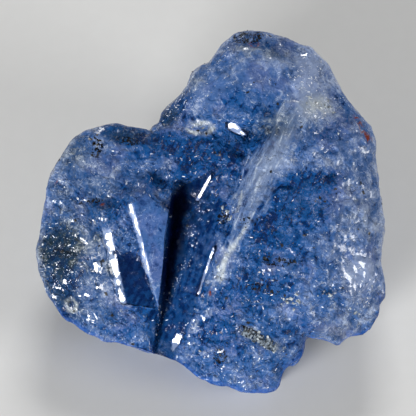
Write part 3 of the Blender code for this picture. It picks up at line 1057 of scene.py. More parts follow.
        fracture = (wisp * 0.6 + blotch * 0.4).between(0.46, 0.60)
        rings = (sheet.noise(face, 1.0, 1.0, 0.5, 1.4) * 30.0).math("SINE")
        lean = sheet.node("CombineXYZ", {}, {"X": sheet.attribute("lean_u"), "Y": sheet.attribute("lean_v")})
        coarse, fine = sheet.facets(face, 1.9, 0.30), sheet.facets(face, 4.6, 0.28)
        skin = sheet.noise(face, 1.7, 1.0, 0.5, 1.2) * 0.24 + curl * 0.07
        skin = skin + (coarse + fine) * (0.22 + fracture)
        skin = skin * (1.0 - wavy * 0.8) * (1.0 - vein.between(0.1, 0.6) * 0.6)
        ripple = sheet.facets(face, 1.3, 0.05, lean) + rings * wavy * 0.010
        height = (skin + ripple) * etched * (1.0 - calm * 0.92) + grain * (etched * 0.008 + 0.003)
        layers = sheet.noise(face.vector_math("MULTIPLY", (0.35, 0.5, 6.0)), 1.0, 3.0, 0.6)
        height = height + streak * vein * 0.10 + layers * cleaved * 0.10
        normal = sheet.node("Bump", {}, {"Height": height, "Distance": MM})

        frost = (shade.higher(0.0) * 0.3 + 0.86).kept() * (1.0 - clear) + fibres * 0.3 + clear * 0.68 + sooty
        frost = frost.higher(gloom * 0.8).kept()
        glitter = fracture.between(0.3, 0.8) * (shade.between(0.15, 0.5) + grey).kept()
        clear_body = sheet.principled(
            Base_Color=self.clear_tint, Roughness=self.clear_roughness, IOR=self.ior, Transmission_Weight=1.0,
            Normal=normal,
        )
        milk_body = sheet.principled(
            Base_Color=milk, Roughness=(0.04 + wisp * 0.22).kept(), IOR=self.ior, Normal=normal,
            Specular_IOR_Level=self.skin_specular, Coat_Roughness=self.coat_roughness, Coat_IOR=self.ior,
            Coat_Weight=(wavy + tone.between(0.95, 1.05) + glitter * etched * 0.6).kept(),
        )
        return sheet.finish(
            Surface=sheet.node("MixShader", {}, {0: frost, 1: clear_body, 2: milk_body}),
            Volume=sheet.node("VolumeAbsorption", {}, {
                "Color": (*self.absorbed, 1.0), "Density": self.absorption
            }),
        )


@dataclass(frozen=True)
class VeilFinish:
    """Healed fractures: sheets of fine bubbles, cloudy in some places and open in others."""

    cloudy: Colour = (0.55, 0.70, 0.90)
    thin: Colour = (0.10, 0.20, 0.40)
    roughness: float = 0.6

    def build(self, place: FacePlace) -> bpy.types.Material:
        """Makes the material, with its patterns in the face's millimetres.

        Args:
            place: Where the face lies.

        Returns:
            The material.
        """
        sheet = ShaderSheet("healed_fracture")
        face = place.mapped(sheet)
        cloud = sheet.noise(face, 1.5, 5.0, 0.65, 0.8)
        wisps = sheet.noise(face, 2.2, 3.0, 0.6, 1.4).line(8.0)
        return sheet.finish(Surface=sheet.principled(
            Base_Color=sheet.blended((cloud - 0.2 + wisps * 0.5).between(0.2, 0.8), self.thin, self.cloudy),
            Roughness=self.roughness,
            Alpha=(cloud + wisps * 0.2).between(0.36, 0.52),
        ))


@dataclass(frozen=True)
class SpeckFinish:
    """Specks that lie in the crystal's skin: mineral grains and white slivers that paint glints."""

    name: str
    dark: Colour
    light: Colour
    roughness: float

    def build(self, place: FacePlace) -> bpy.types.Material:
        """Makes the material, with its patterns in the face's millimetres.

        Args:
            place: Where the face lies.

        Returns:
            The material.
        """
        sheet = ShaderSheet(self.name)
        spot = sheet.noise(place.mapped(sheet), 5.0).between(0.35, 0.65)
        return sheet.finish(Surface=sheet.principled(
            Base_Color=sheet.blended(spot, self.dark, self.light), Roughness=self.roughness
        ))


@dataclass(frozen=True)
class PaperFinish:
    """Pale matt paper."""

    dark: Colour = (0.6336, 0.6336, 0.624)
    light: Colour = (0.66, 0.66, 0.65)
    roughness: float = 0.8

    def build(self) -> bpy.types.Material:
        """Makes the material."""
        sheet = ShaderSheet("floor_paper")
        tooth = sheet.noise(sheet.node("TexCoord", {}, {}, "Object"), 900.0, 3.0)
        return sheet.finish(Surface=sheet.principled(
            Base_Color=sheet.blended(tooth, self.light, self.dark), Roughness=self.roughness
        ))


# The pieces


def total(marks: Sequence[Patch | Stroke], u: Field, v: Field) -> Field:
    """The shares of several marks on the face, added up."""
    return sum(mark.share(u, v) for mark in marks)


def highest(marks: Sequence[Patch | Stroke | Chip], u: Field, v: Field) -> Field:
    """The highest share of several marks on the face."""
    return np.max([mark.share(u, v) for mark in marks], axis=0)


@dataclass(frozen=True)
class Crystal:
    """The finished stone, which stands for the plain solid.

    Its patches and strokes say where the skin is lighter or darker (tones, a few of them painted glints),
    grey, rusty, calm or wavy, where the groove, its bank and the pale vein lie, where painted shade lies
    along the crevice and under the fold, and how thick its graphite, grains and white glint slivers are.
    """

    form: CrystalForm = CrystalForm()
    fine: FineRelief = FineRelief()
    finish: TanzaniteFinish = TanzaniteFinish()
    crease_deg: float = 32.0
    # Mostly the skin's own lighter and darker tone; the bright patches at (6.7, 9.3) and (-7.2, -5.7) are
    # painted glints.
    tones: tuple[Patch, ...] = patches(
        (-1.6, 3.3, 3.3, 1.6, -0.42), (2.0, 4.4, 3.4, 0.9, -0.40), (0.8, 5.0, 1.6, 1.0, -0.20),
        (3.0, -7.2, 3.6, 2.6, -0.10), (3.2, 9.6, 3.2, 2.4, 0.12), (-8.2, 2.6, 2.6, 2.4, 0.08),
        (-6.4, 0.5, 0.7, 0.5, -0.40), (-4.7, -6.8, 1.1, 0.45, -0.35, -10), (-10.4, -2.6, 1.2, 1.2, -0.34),
        (-0.9, -3.0, 3.9, 0.9, -0.25, 72), (5.1, 0.4, 2.3, 1.5, -0.30), (6.6, 2.1, 2.4, 0.5, -0.25),
        (5.9, -0.2, 1.6, 0.6, -0.20), (5.2, -2.2, 1.3, 0.6, -0.25), (4.3, -6.3, 0.6, 0.8, -0.25),
        (3.0, -7.0, 0.7, 0.5, -0.20), (6.1, -7.6, 0.6, 0.5, -0.20), (0.8, -5.6, 1.0, 0.6, -0.20),
        (6.8, 3.2, 1.6, 0.6, 0.18, 10), (4.9, 3.2, 1.0, 0.6, 0.10), (3.6, -1.6, 1.5, 1.3, -0.30),
        (6.2, 1.5, 1.6, 0.6, -0.15), (2.4, -3.5, 1.2, 1.5, -0.10), (2.0, 7.0, 1.7, 1.3, -0.22),
        (-7.3, -0.2, 0.9, 0.6, -0.45), (-1.5, 3.1, 0.6, 0.5, -0.25), (-3.1, -7.5, 1.2, 1.1, -0.35),
        (-5.8, 5.3, 1.6, 0.6, -0.50, -10), (0.3, -8.6, 1.2, 0.9, -0.18), (10.2, -1.6, 1.6, 4.4, 0.28),
        (10.4, -4.5, 1.0, 1.2, 0.35), (9.4, -0.4, 1.2, 1.2, 0.12), (7.3, 7.1, 1.1, 0.8, 0.90),
        (6.7, 9.3, 0.9, 1.5, 0.66, -20), (9.4, 4.1, 1.2, 1.0, 0.15), (-9.9, -5.0, 1.1, 1.2, -0.42),
        (-6.2, -7.8, 1.6, 1.1, -0.12), (4.1, -4.8, 1.6, 0.8, -0.40), (-0.8, 7.8, 1.4, 1.0, 0.22, 40),
        (-0.9, 5.8, 0.8, 0.25, 0.20, 8), (-3.2, 3.2, 1.4, 0.5, 0.42, 10), (-1.5, 3.15, 0.4, 0.4, -0.45),
        (-3.2, 4.6, 1.4, 0.5, -0.30), (-8.6, -4.4, 1.4, 1.6, 0.06), (2.0, -1.6, 1.5, 1.0, -0.15, 60),
        (9.6, -7.1, 1.6, 1.2, 0.20), (4.4, 10.2, 1.6, 0.7, 0.16, -10), (-2.9, 6.5, 0.8, 0.5, -0.35, 40),
        (-1.7, 8.6, 1.0, 0.3, -0.20, 50), (-9.4, 4.2, 1.1, 0.9, 0.05, 40), (9.0, -2.5, 0.9, 0.8, -0.28),
        (6.1, 10.6, 0.9, 0.7, 0.32, -35), (8.2, 8.4, 0.6, 1.1, 0.28, -30),
        (-0.6, -2.6, 0.45, 1.0, 1.30, -20), (4.9, -6.9, 1.0, 0.6, 0.42), (6.7, -5.7, 0.7, 0.8, 0.24),
        (8.1, -2.5, 0.7, 0.8, 0.30), (8.2, -5.9, 0.8, 0.7, -0.25), (-0.7, -5.8, 0.6, 0.8, -0.25, -20),
        (-1.8, 7.4, 0.6, 0.9, -0.28, -40), (3.7, -2.6, 0.9, 0.8, -0.20), (-2.9, -8.0, 0.8, 0.9, -0.40),
        (2.6, -5.8, 0.7, 0.7, -0.20), (3.7, -10.2, 0.9, 0.6, -0.22), (-0.6, 6.4, 0.9, 0.5, -0.22),
        (-7.2, -5.7, 0.8, 0.8, 0.28), (-0.7, -9.2, 0.8, 0.7, -0.25), (1.5, -8.0, 0.8, 0.7, -0.22),
        (-5.1, 5.2, 0.9, 0.5, -0.35, -10), (4.2, 3.6, 1.2, 1.0, 0.10),
    )
    greys: tuple[Patch, ...] = patches(
        (-10.4, -2.6, 1.6, 1.5), (-5.8, 5.2, 1.5, 0.5, 0.55, -10), (-8.8, -3.4, 2.8, 3.6, 0.42),
        (-8.6, 2.4, 2.4, 2.4, 0.30), (-9.7, 4.2, 1.1, 0.9, 0.50, 40), (-9.6, -6.9, 0.9, 0.9, 0.30),
        (-7.8, -1.8, 0.28, 0.36, 0.8), (-6.85, -3.9, 0.3, 0.5, 0.8), (7.3, 7.0, 1.3, 1.1, 0.32),
        (10.3, -0.2, 1.4, 1.6, 0.24), (9.6, -7.1, 1.5, 1.1, 0.3), (4.4, 5.8, 1.4, 0.9, 0.75),
        (-2.9, 6.5, 0.9, 0.6, 0.70, 40), (-1.5, 8.5, 1.3, 0.5, 0.50, 50),
        (3.45, -8.75, 1.35, 0.42, 1.0, -25), (-10.6, -5.6, 1.0, 1.8, 0.35, 25),
        (3.6, 10.9, 2.0, 0.6, 0.5, -8),
    )
    rusts: tuple[Patch, ...] = patches(
        (10.1, 6.3, 0.30, 0.18, 1.0, 120), (10.45, 5.6, 0.35, 0.2, 1.0, 110),
        (10.8, 5.0, 0.3, 0.2, 1.0, 110), (3.0, 11.4, 0.3, 0.15), (-10.5, 2.0, 0.2, 0.15),
        (-7.4, 0.5, 0.12, 0.12), (0.0, -5.55, 0.12, 0.2),
    )
    calm: tuple[Patch, ...] = patches(
        (2.2, 8.7, 3.0, 1.9, 0.8), (-0.9, -3.2, 4.2, 1.0, 0.5, 72), (-7.6, 3.2, 2.2, 1.5, 0.5, 20),
        (6.5, -2.5, 2.0, 1.5, 0.35), (-3.0, -7.6, 1.2, 1.0, 0.7), (5.0, 2.2, 1.8, 1.0, 0.3),
        (-1.1, 0.0, 1.2, 1.6, -0.9),
    )
    shy: tuple[Patch, ...] = patches(
        (-1.1, 0.0, 1.0, 1.3), (-9.7, -6.7, 1.3, 0.8, 0.8, -40),
    )
    wavy: tuple[Patch, ...] = patches(
        (-8.1, -4.8, 1.5, 1.7), (-7.7, -2.4, 0.8, 1.2, 0.8), (10.2, -4.4, 1.1, 1.2),
        (6.8, 9.2, 0.8, 1.5, 1.0, -20), (-0.8, 7.6, 1.3, 0.9, 1.0, 40), (8.4, -8.2, 1.2, 0.5),
    )
    right_glint: Point2 = (-0.61, 0.07)
    bank: tuple[Point2, ...] = (
        (-2.4, -9.6), (-1.6, -8.2), (-0.9, -6.1), (-0.35, -4.4), (0.2, -2.66), (0.9, -1.6), (1.4, -0.24),
        (2.3, 1.5),
    )
    pools: tuple[Patch, ...] = patches(
        (-1.3, -2.8, 4.6, 1.15, 1.0, 71), (-3.0, -7.5, 2.0, 1.0, 1.0, 65), (-1.4, 1.1, 1.5, 0.9, 1.0, 20),
    )
    rings: tuple[Stroke, ...] = (
        Stroke((
            (-1.65, 5.6), (-1.4, 5.9), (-0.8, 6.02), (-0.1, 6.0), (0.15, 5.8), (-0.1, 5.5), (-0.8, 5.38),
            (-1.4, 5.4), (-1.65, 5.6),
        ), 0.16),
        Stroke(((-9.9, -6.2), (-9.5, -5.95), (-9.2, -6.3), (-9.4, -6.9), (-9.8, -6.9), (-9.9, -6.2)), 0.1),
    )
    seams: tuple[Stroke, ...] = (
        Stroke(((2.5, -1.1), (1.85, -1.85), (1.4, -2.45)), 0.12),
        Stroke(((1.4, -2.45), (0.8, -3.5), (0.6, -4.6)), 0.2),
        Stroke(((2.15, 1.35), (2.05, 0.45), (1.85, 0.1)), 0.09),
    )
    # Painted shade lies along the crevice and in the triangle under the fold.
    crevice: Stroke = Stroke(
        ((-2.15, 0.6), (-2.3, 0.0), (-2.5, -1.9), (-2.85, -3.6), (-3.15, -5.2), (-3.45, -6.8), (-3.7, -8.0)),
        0.42,
    )
    fold: Chip = Chip(((-3.5, 0.5), (0.6, 3.1), (-1.0, 0.6), (-2.6, -0.3)))
    chalky: tuple[Patch, ...] = patches(
        (7.4, 7.2, 0.8, 0.55, 0.8), (0.75, -4.3, 0.35, 0.45, 0.5),
    )
    vein: Stroke = Stroke(
        ((5.6, 7.0), (4.5, 4.2), (2.7, 0.8), (1.4, -2.6), (0.1, -5.4), (-1.0, -8.2), (-2.4, -10.6)), 1.3
    )
    vein_cores: tuple[Patch, ...] = patches(
        (0.9, -3.2, 1.4, 0.3, 0.25, 63), (3.6, 3.3, 1.9, 0.8, 0.35, 52), (7.4, 7.2, 0.9, 0.6, 0.90),
    )
    graphite: tuple[Patch, ...] = patches(
        (0.66, -9.9, 0.4, 0.45, 14.0), (-8.1, 0.75, 0.7, 0.16, 12.0), (4.6, -3.4, 1.0, 0.28, 12.0, -4),
        (4.27, -5.5, 0.45, 0.15, 14.0), (-7.8, 4.4, 0.35, 0.6, 12.0), (2.55, 11.9, 0.8, 0.35, 14.0),
        (2.8, -8.2, 0.8, 0.16, 18.0, -25), (3.1, -5.1, 0.6, 0.2, 10.0), (0.8, -0.3, 0.4, 0.5, 10.0),
        (4.2, 8.7, 0.35, 0.4, 3.0), (5.0, 7.3, 0.5, 0.35, 2.5), (5.9, 5.4, 0.3, 0.2, 5.0),
        (0.5, 4.0, 0.16, 0.16, 40.0), (-5.5, 4.85, 0.7, 0.35, 8.0), (-10.2, -2.6, 1.2, 0.5, 3.0),
        (2.6, -0.6, 0.9, 0.5, 4.0), (8.6, 1.2, 0.7, 0.5, 3.0), (10.3, 1.6, 0.3, 0.3, 5.0),
    )
    grains: tuple[Patch, ...] = patches(
        (5.4, -6.1, 0.7, 0.4, 12.0), (7.7, -5.8, 0.4, 0.3, 16.0), (7.5, 7.2, 0.8, 0.6, 6.0),
        (-0.8, 5.75, 0.9, 0.3, 5.0, 8), (3.9, -9.0, 0.9, 0.3, 14.0, -25), (1.0, -0.2, 0.5, 0.6, 6.0),
        (0.6, -4.4, 0.2, 0.4, 20.0), (9.6, -6.8, 0.9, 0.7, 3.0),
    )
    # White slivers: mostly painted glints, and the pale sparkly grains of the cluster at (7.4, 7.1).
    glint_slivers: tuple[Patch, ...] = patches(
        (-2.1, -4.4, 2.6, 0.24, 26.0, 67), (-1.6, -8.2, 1.2, 0.8, 6.0), (-8.2, -4.6, 1.6, 2.2, 3.5),
        (-10.4, -2.6, 1.4, 1.4, 9.0), (7.4, 7.1, 0.9, 0.7, 36.0), (6.8, 9.3, 0.9, 1.5, 16.0, -20),
        (-2.4, 7.0, 1.2, 0.6, 8.0, 45), (-0.8, 7.8, 1.5, 1.1, 4.0, 40), (-2.6, 3.0, 2.0, 1.0, 2.5, 10),
        (9.8, -4.6, 1.4, 1.6, 4.0), (4.6, -5.6, 3.0, 1.6, 2.0), (4.8, 2.6, 2.4, 1.2, 1.5),
    )

    def met(self, group: FacetGroup, facet: Facet, u: Field, v: Field) -> Field:
        """How squarely one facet of a group makes the surface, from 0 to 1.

        Args:
            group: The pocket or step.
            facet: One of its facets.
            u: The places to the right.
            v: The places up.

        Returns:
            One number for each place.
        """
        surface = group.surface(u, v)
        shows = smooth_step(0.05, 0.015, np.abs(self.form.relief(u, v) - surface))
        return shows * smooth_step(0.05, 0.015, np.abs(surface - facet.height(u, v)))

    def fields(self, points: Field, slope: Field, fine: Field) -> dict[str, Field]:
        """Where each finish lies, as numbers on the crystal's points.

        Args:
            points: The smooth crystal's points as (u, v, w).
            slope: How fast w grows along u and along v at each of them.
            fine: How far the fine relief moves each of them.

        Returns:
            The numbers by name.
        """
        u, v, w = points.T
        form = self.form
        front = smooth_step(-3.5, -1.5, w)
        off_floor = smooth_step(0.4, 1.2, moved(points, form.plane.matrix())[:, 2])
        far_u, far_v, strength = wandered(u, v)
        bent_u, bent_v = u + 0.7 * (far_u - u), v + 0.7 * (far_v - v)
        crackle = noisy(np.stack([u / 0.7, v / 0.45, 0.0 * u + 4.4], axis=1), 1.0)
        inward = form.inward(u, v)

        wedge, wedge_bevel, wedge_right, terrace, terrace_bevel, floor, wall = (
            self.met(group, facet, u, v) * front
            for group, facet in (
                (form.wedge, WEDGE_TOP), (form.wedge, WEDGE_BEVEL), (form.wedge, WEDGE_RIGHT),
                (form.terrace, TERRACE_TOP), (form.terrace, TERRACE_BEVEL),
                (form.channel, CHANNEL_FLOOR), (form.channel, CHANNEL_WALL),
            )
        )
        chipped = highest(form.chips, u, v) * front
        bevels = np.maximum(wedge_bevel, terrace_bevel * smooth_step(-0.9, -1.5, v))
        bevels *= smooth_step(-0.50, -0.42, crackle)
        window = terrace * smooth_step(-2.6, -3.5, v + 0.25 * (u + 5.0))
        bank = np.interp(v, *np.transpose(self.bank)[::-1])
        pool = np.clip(1.9 * highest(self.pools, u, v) - 0.4, 0.0, 1.0)
        channel = np.maximum(floor * smooth_step(-4.5, -4.0, u), pool * (1.0 - wedge))
        channel *= smooth_step(0.25, -0.25, u - bank) * front
        walls = np.maximum(wall, wedge_right) * smooth_step(0.35, -0.25, v - 0.67 * u - 2.8)
        shy = highest(self.shy, u, v) * front
        wavy = np.clip(1.3 * total(self.wavy, u, v), 0.0, 1.0) * front
        ring = highest(self.rings, bent_u, bent_v) * front * (0.45 + 0.55 * smooth_step(-0.25, 0.1, crackle))
        # Painted highlight: the bevels and chips that catch the left softbox get a pale tone.
        painted_highlight = np.maximum(bevels * (1.0 - 0.6 * wedge_bevel * smooth_step(-3.7, -5.2, v)), chipped)
        cleaved = self.cleaved(points) * (1.0 - front)
        glassy = cleaved * smooth_step(-0.25, 0.15, noisy(points, 3.0, NOWHERE, 0.9, 2.1, 2))
        flat = np.max([bevels, chipped, wedge, window, terrace * 0.7], axis=0)
        quiet = np.max([flat, np.maximum(channel, walls) * 0.85 * (1.0 - shy), wavy * 0.8], axis=0)
        bare = (1.0 - flat) * off_floor

        tone = 0.42 + 1.2 * total(self.tones, u, v) * front
        # The grooves' dark tones are painted shade along their creases.
        tone += sum(line.tone * strength * line.share(far_u, far_v) for line in form.strokes) * front
        tone += np.clip(fine / 0.15, -1.0, 1.0) * 0.14
        # Painted shade: the walls are set dark; the channel, wedge and window get tones of their own.
        for level, share in ((0.06, 0.8 * channel), (0.0, walls), (0.42, wedge), (-0.10, window)):
            tone = mixed(tone, level, share)
        # Painted highlight: 1.1 is the pale tone of the lit bevels and chips.
        tone = mixed(tone + 0.4 * ring, 1.1, painted_highlight)
        # Painted highlight: lighter along the outline, above the lower part.
        tone += 0.3 * smooth_step(0.5, 0.1, inward) * smooth_step(-6.5, -3.0, v) * front
        tone = mixed(tone, 0.14, glassy)

        # Painted shade in the walls, along the crevice and under the fold.
        gloom = walls * 0.45 + self.crevice.share(u, v) * 1.35 + self.fold.share(bent_u, bent_v, 0.22) * 0.80
        gloom = np.clip(gloom - 0.2, 0.0, 1.0) * front * (1.0 - wedge)
        gloom *= 0.42 + 0.58 * smooth_step(-7.2, -4.6, v)
        # The window and the channel are darkened with the same dark blue.
        deepened = window * (0.38 + 0.3 * smooth_step(-6.0, -3.8, v)) + channel * 0.25
        # Painted glow: a thin bright blue band along the lower outline, light shining through the thin rim.
        edge = smooth_step(0.34, 0.12, inward) * smooth_step(-5.0, -7.5, v) * front
        chalk = ring * 0.9 + (total(self.seams, bent_u, bent_v) + total(self.chalky, u, v)) * front
        veined = self.vein.share(u, v) * (0.45 + 0.55 * smooth_step(-2.5, 1.0, v)) * 0.9
        lights = np.where((u < 3.0)[:, None], ON_GLINT, self.right_glint)
        lean = np.clip(lights - slope, -0.8, 0.8) * wavy[:, None] - 0.35 * shy[:, None]
        return {
            "quiet": quiet,
            "clear": np.maximum(np.clip(window + channel * 0.8 + walls * 0.4, 0.0, 1.0), glassy * 0.9),
            "polish": np.max([window * 0.95, bevels, chipped, wedge * 0.9, glassy * 0.85], axis=0),
            "cleaved": cleaved,
            "gloom": np.maximum(gloom, deepened) * (1.0 - painted_highlight),
            "edge": edge * 0.3,
            "tone": tone,
            "chalk": np.clip(chalk, 0.0, 1.0),
            "vein": (veined + total(self.vein_cores, u, v)) * front * (1.0 - np.maximum(channel, walls)),
            "grey": np.clip(total(self.greys, u, v) + 0.6 * ring, 0.0, 1.0) * front,
            "calm": np.clip(total(self.calm, u, v) + channel + walls, 0.0, 0.95) * front + glassy * 0.9,
            "wavy": wavy,
            "lean_u": lean[:, 0],
            "lean_v": lean[:, 1],
            "rust": np.clip(total(self.rusts, u, v), 0.0, 1.0) * front,
            "graphite": (0.14 + total(self.graphite, u, v) * front) * bare,
            "grains": (0.015 + total(self.grains, u, v) * front) * bare,
            "glint_slivers": (0.45 + total(self.glint_slivers, u, v) * front + 12.0 * ring) * bare,
        }

    def cleaved(self, points: Field) -> Field:
        """One on the flat cleavage faces, which are given on the face's axes.

        Args:
            points: Points as (u, v, w).

        Returns:
            One number for each point.
        """
        from_core = points - np.array(self.form.core)
        return np.max([
            smooth_step(0.12, 0.02, distance - from_core @ (np.array(direction) / np.linalg.norm(direction)))
            for direction, distance in self.form.breaks
        ], axis=0)

    def make(self) -> tuple[bpy.types.Object, FacePlace]:
        """Builds the stone's mesh in the frame, with its finish fields and material.

        Returns:
            The stone, and where its face plane lies.
        """
        mesh = self.form.body()
        bmesh.ops.triangulate(mesh, faces=mesh.faces[:])
        bmesh.ops.recalc_face_normals(mesh, faces=mesh.faces[:])
        mesh.normal_update()
        upright = read_points(mesh)
        low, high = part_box(NODE)
        middle = (upright.min(0) + upright.max(0) - np.add(low, high) / MM) / 2.0
        place = FacePlace(self.form.plane, (float(middle[0]), float(middle[1]), 0.0))
        lean = self.form.plane.matrix()
        on_face = moved(upright, lean.inverted())
        normals = np.array([v.normal for v in mesh.verts])
        turned = normals @ np.array(lean)[:3, :3]
        slope, facing = -turned[:, :2] / np.maximum(turned[:, 2:], 0.3), turned[:, 2]
        smooth = self.fields(on_face, slope, np.zeros(len(on_face)))
        height = self.fine.height(upright, facing, smooth["quiet"], self.cleaved(on_face))
        height *= smooth_step(0.0, 0.5, upright[:, 2])
        write_points(mesh.verts, (upright + normals * height[:, None] - np.array(place.middle)) * MM)
        stone = new_piece("crystal_surface", mesh, self.finish.build(place))
        for name, values in self.fields(on_face, slope, height).items():
            attribute = stone.data.attributes.new(name, "FLOAT", "POINT")
            attribute.data.foreach_set("value", values.astype(np.float32))
        stone.data.shade_smooth()
        stone.data.set_sharp_from_angle(angle=math.radians(self.crease_deg))
        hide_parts(NODE)
        return stone, place


@dataclass(frozen=True)
class Veil:
    """One healed fracture: a thin wavy sheet inside the crystal, on the face's axes."""

    centre: Point3
    facing: Point3
    reach: float
    thickness: float = 0.05
    waviness: float = 0.7
    grid_cuts: int = 21
    inset: float = 0.9

    def add(self, mesh: bmesh.types.BMesh, place: FacePlace, stone: BVHTree, core: Vector) -> None:
        """Adds the closed sheet to a mesh.

        Args:
            mesh: The mesh that takes it, in the frame's metres.
            place: Where the face lies.
            stone: The crystal's surface, which the sheet stays a little inside.
            core: A point well inside the crystal.
        """
        turn = np.array(Vector(self.facing).to_track_quat("Z", "Y").to_matrix())
        added, ball = add_ball(mesh, self.grid_cuts)
        seed = Vector(self.centre) * 1.7
        rim = self.reach * (1.0 + 0.35 * noisy(ball * (1.0, 1.0, 0.0), 1.0 / 1.6, seed))
        flat = ball * np.stack([rim, rim, np.full(len(ball), self.thickness)], axis=1)
        flat[:, 2] += self.waviness * noisy(flat * (1.0, 1.0, 0.0), 2.6, seed, 0.8, 2.1, 3)
        for vertex, spot in zip(added, place.placed(flat @ turn.T + np.array(self.centre))):
            ray = Vector(spot) - core
            reach = stone.ray_cast(core, ray.normalized())[3]
            vertex.co = core + ray * min(1.0, self.inset * reach / ray.length)


@dataclass(frozen=True)
class HealedFractures:
    """The cloudy sheets that show through the crystal's clear places."""

    finish: VeilFinish = VeilFinish()
    veils: tuple[Veil, ...] = tuple(Veil(*row) for row in (
        ((-5.3, -3.6, -0.4), (0.10, 0.15, 1.0), 2.9), ((-5.6, -4.2, -2.4), (-0.30, -0.1, 1.0), 3.6),
        ((-2.3, -4.0, -2.3), (0.35, 0.0, 1.0), 3.4), ((-2.6, -7.8, -2.0), (0.1, -0.4, 1.0), 2.2),
        ((0.4, -3.6, -0.4), (-0.3, 0.1, 1.0), 3.2), ((-1.4, 3.8, -0.3), (0.0, -0.2, 1.0), 3.4),
        ((5.2, 0.4, 1.0), (0.1, 0.1, 1.0), 3.6), ((3.0, 7.6, -0.2), (0.0, 0.25, 1.0), 3.4),
        ((-8.2, 1.6, -0.4), (-0.25, 0.2, 1.0), 2.7), ((2.6, -7.6, -0.3), (0.1, -0.25, 1.0), 3.2),
        ((8.6, -4.0, 0.2), (0.4, -0.1, 1.0), 2.8), ((0.0, 0.0, -4.6), (0.1, 0.1, 1.0), 6.4),
        ((-7.4, -1.0, -3.6), (-1.0, 0.1, 0.1), 3.4), ((7.6, 0.0, -3.4), (1.0, 0.1, 0.1), 3.6),
        ((0.6, -7.2, -4.0), (0.1, -1.0, 0.2), 3.6), ((1.0, 6.4, -4.4), (0.0, 1.0, -0.3), 3.6),
    ))

    def make(self, stone: bpy.types.Object, place: FacePlace, core: Point3) -> None:
        """Builds the sheets as one piece inside the stone.

        Args:
            stone: The crystal's surface.
            place: Where the face lies.
            core: A point well inside the crystal, as (u, v, w).
        """
        mesh = bmesh.new()
        surface = BVHTree.FromObject(stone, bpy.context.evaluated_depsgraph_get())
        for veil in self.veils:
            veil.add(mesh, place, surface, Vector(place.placed(core)))
        bmesh.ops.recalc_face_normals(mesh, faces=mesh.faces[:])
        new_piece("healed_fractures", mesh, self.finish.build(place)).data.shade_smooth()


class Recipe:
    """A Geometry Nodes group that is built in code, with its inputs set by name."""

    def __init__(self, name: str) -> None:
        """Starts an empty group that takes and gives a mesh."""
        self.tree = bpy.data.node_groups.new(name, "GeometryNodeTree")
        for way in ("INPUT", "OUTPUT"):
            self.tree.interface.new_socket("Geometry", in_out=way, socket_type="NodeSocketGeometry")
        self.start = self.tree.nodes.new("NodeGroupInput")
        self.values: dict[str, object] = {}

    def input(self, name: str, kind: str, value: object) -> bpy.types.NodeSocket:
        """Adds a named input of the given socket kind, which the modifier will set to the value."""
        socket = self.tree.interface.new_socket(name, in_out="INPUT", socket_type=kind)
        self.values[socket.identifier] = value
        return self.start.outputs[name]

    def node(
        self, kind: str, settings: Settings, out: str | int = 0, **inputs: object
    ) -> bpy.types.NodeSocket:
        """Adds a node with its settings and its inputs, named with underscores for spaces, for one output."""
        spaced = {name.replace("_", " "): value for name, value in inputs.items()}
        return add_node(self.tree, kind, settings, spaced).outputs[out]

    def combined(self, kind: str, operation: str, *inputs: object) -> bpy.types.NodeSocket:
        """Adds a Math or Vector Math node with its inputs in order."""
        return add_node(self.tree, kind, {"operation": operation}, dict(enumerate(inputs))).outputs[0]

    def applied(self, host: bpy.types.Object, result: bpy.types.NodeSocket, name: str) -> bpy.types.Object:
        """Runs the group on a copy of the host.

        Args:
            host: The object whose mesh the group takes.
            result: The socket that gives the new mesh.
            name: The new object's name.

        Returns:
            What the group makes, as a plain object.
        """
        self.tree.links.new(result, self.tree.nodes.new("NodeGroupOutput").inputs["Geometry"])
        carrier = new_object(name + "_carrier", host.data)
        modifier = carrier.modifiers.new(name, "NODES")
        modifier.node_group = self.tree
        for identifier, value in self.values.items():
            modifier[identifier] = value
        graph = bpy.context.evaluated_depsgraph_get()
        data = bpy.data.meshes.new_from_object(carrier.evaluated_get(graph), depsgraph=graph)
        data.name = name
        bpy.data.objects.remove(carrier)
        return new_object(name, data)


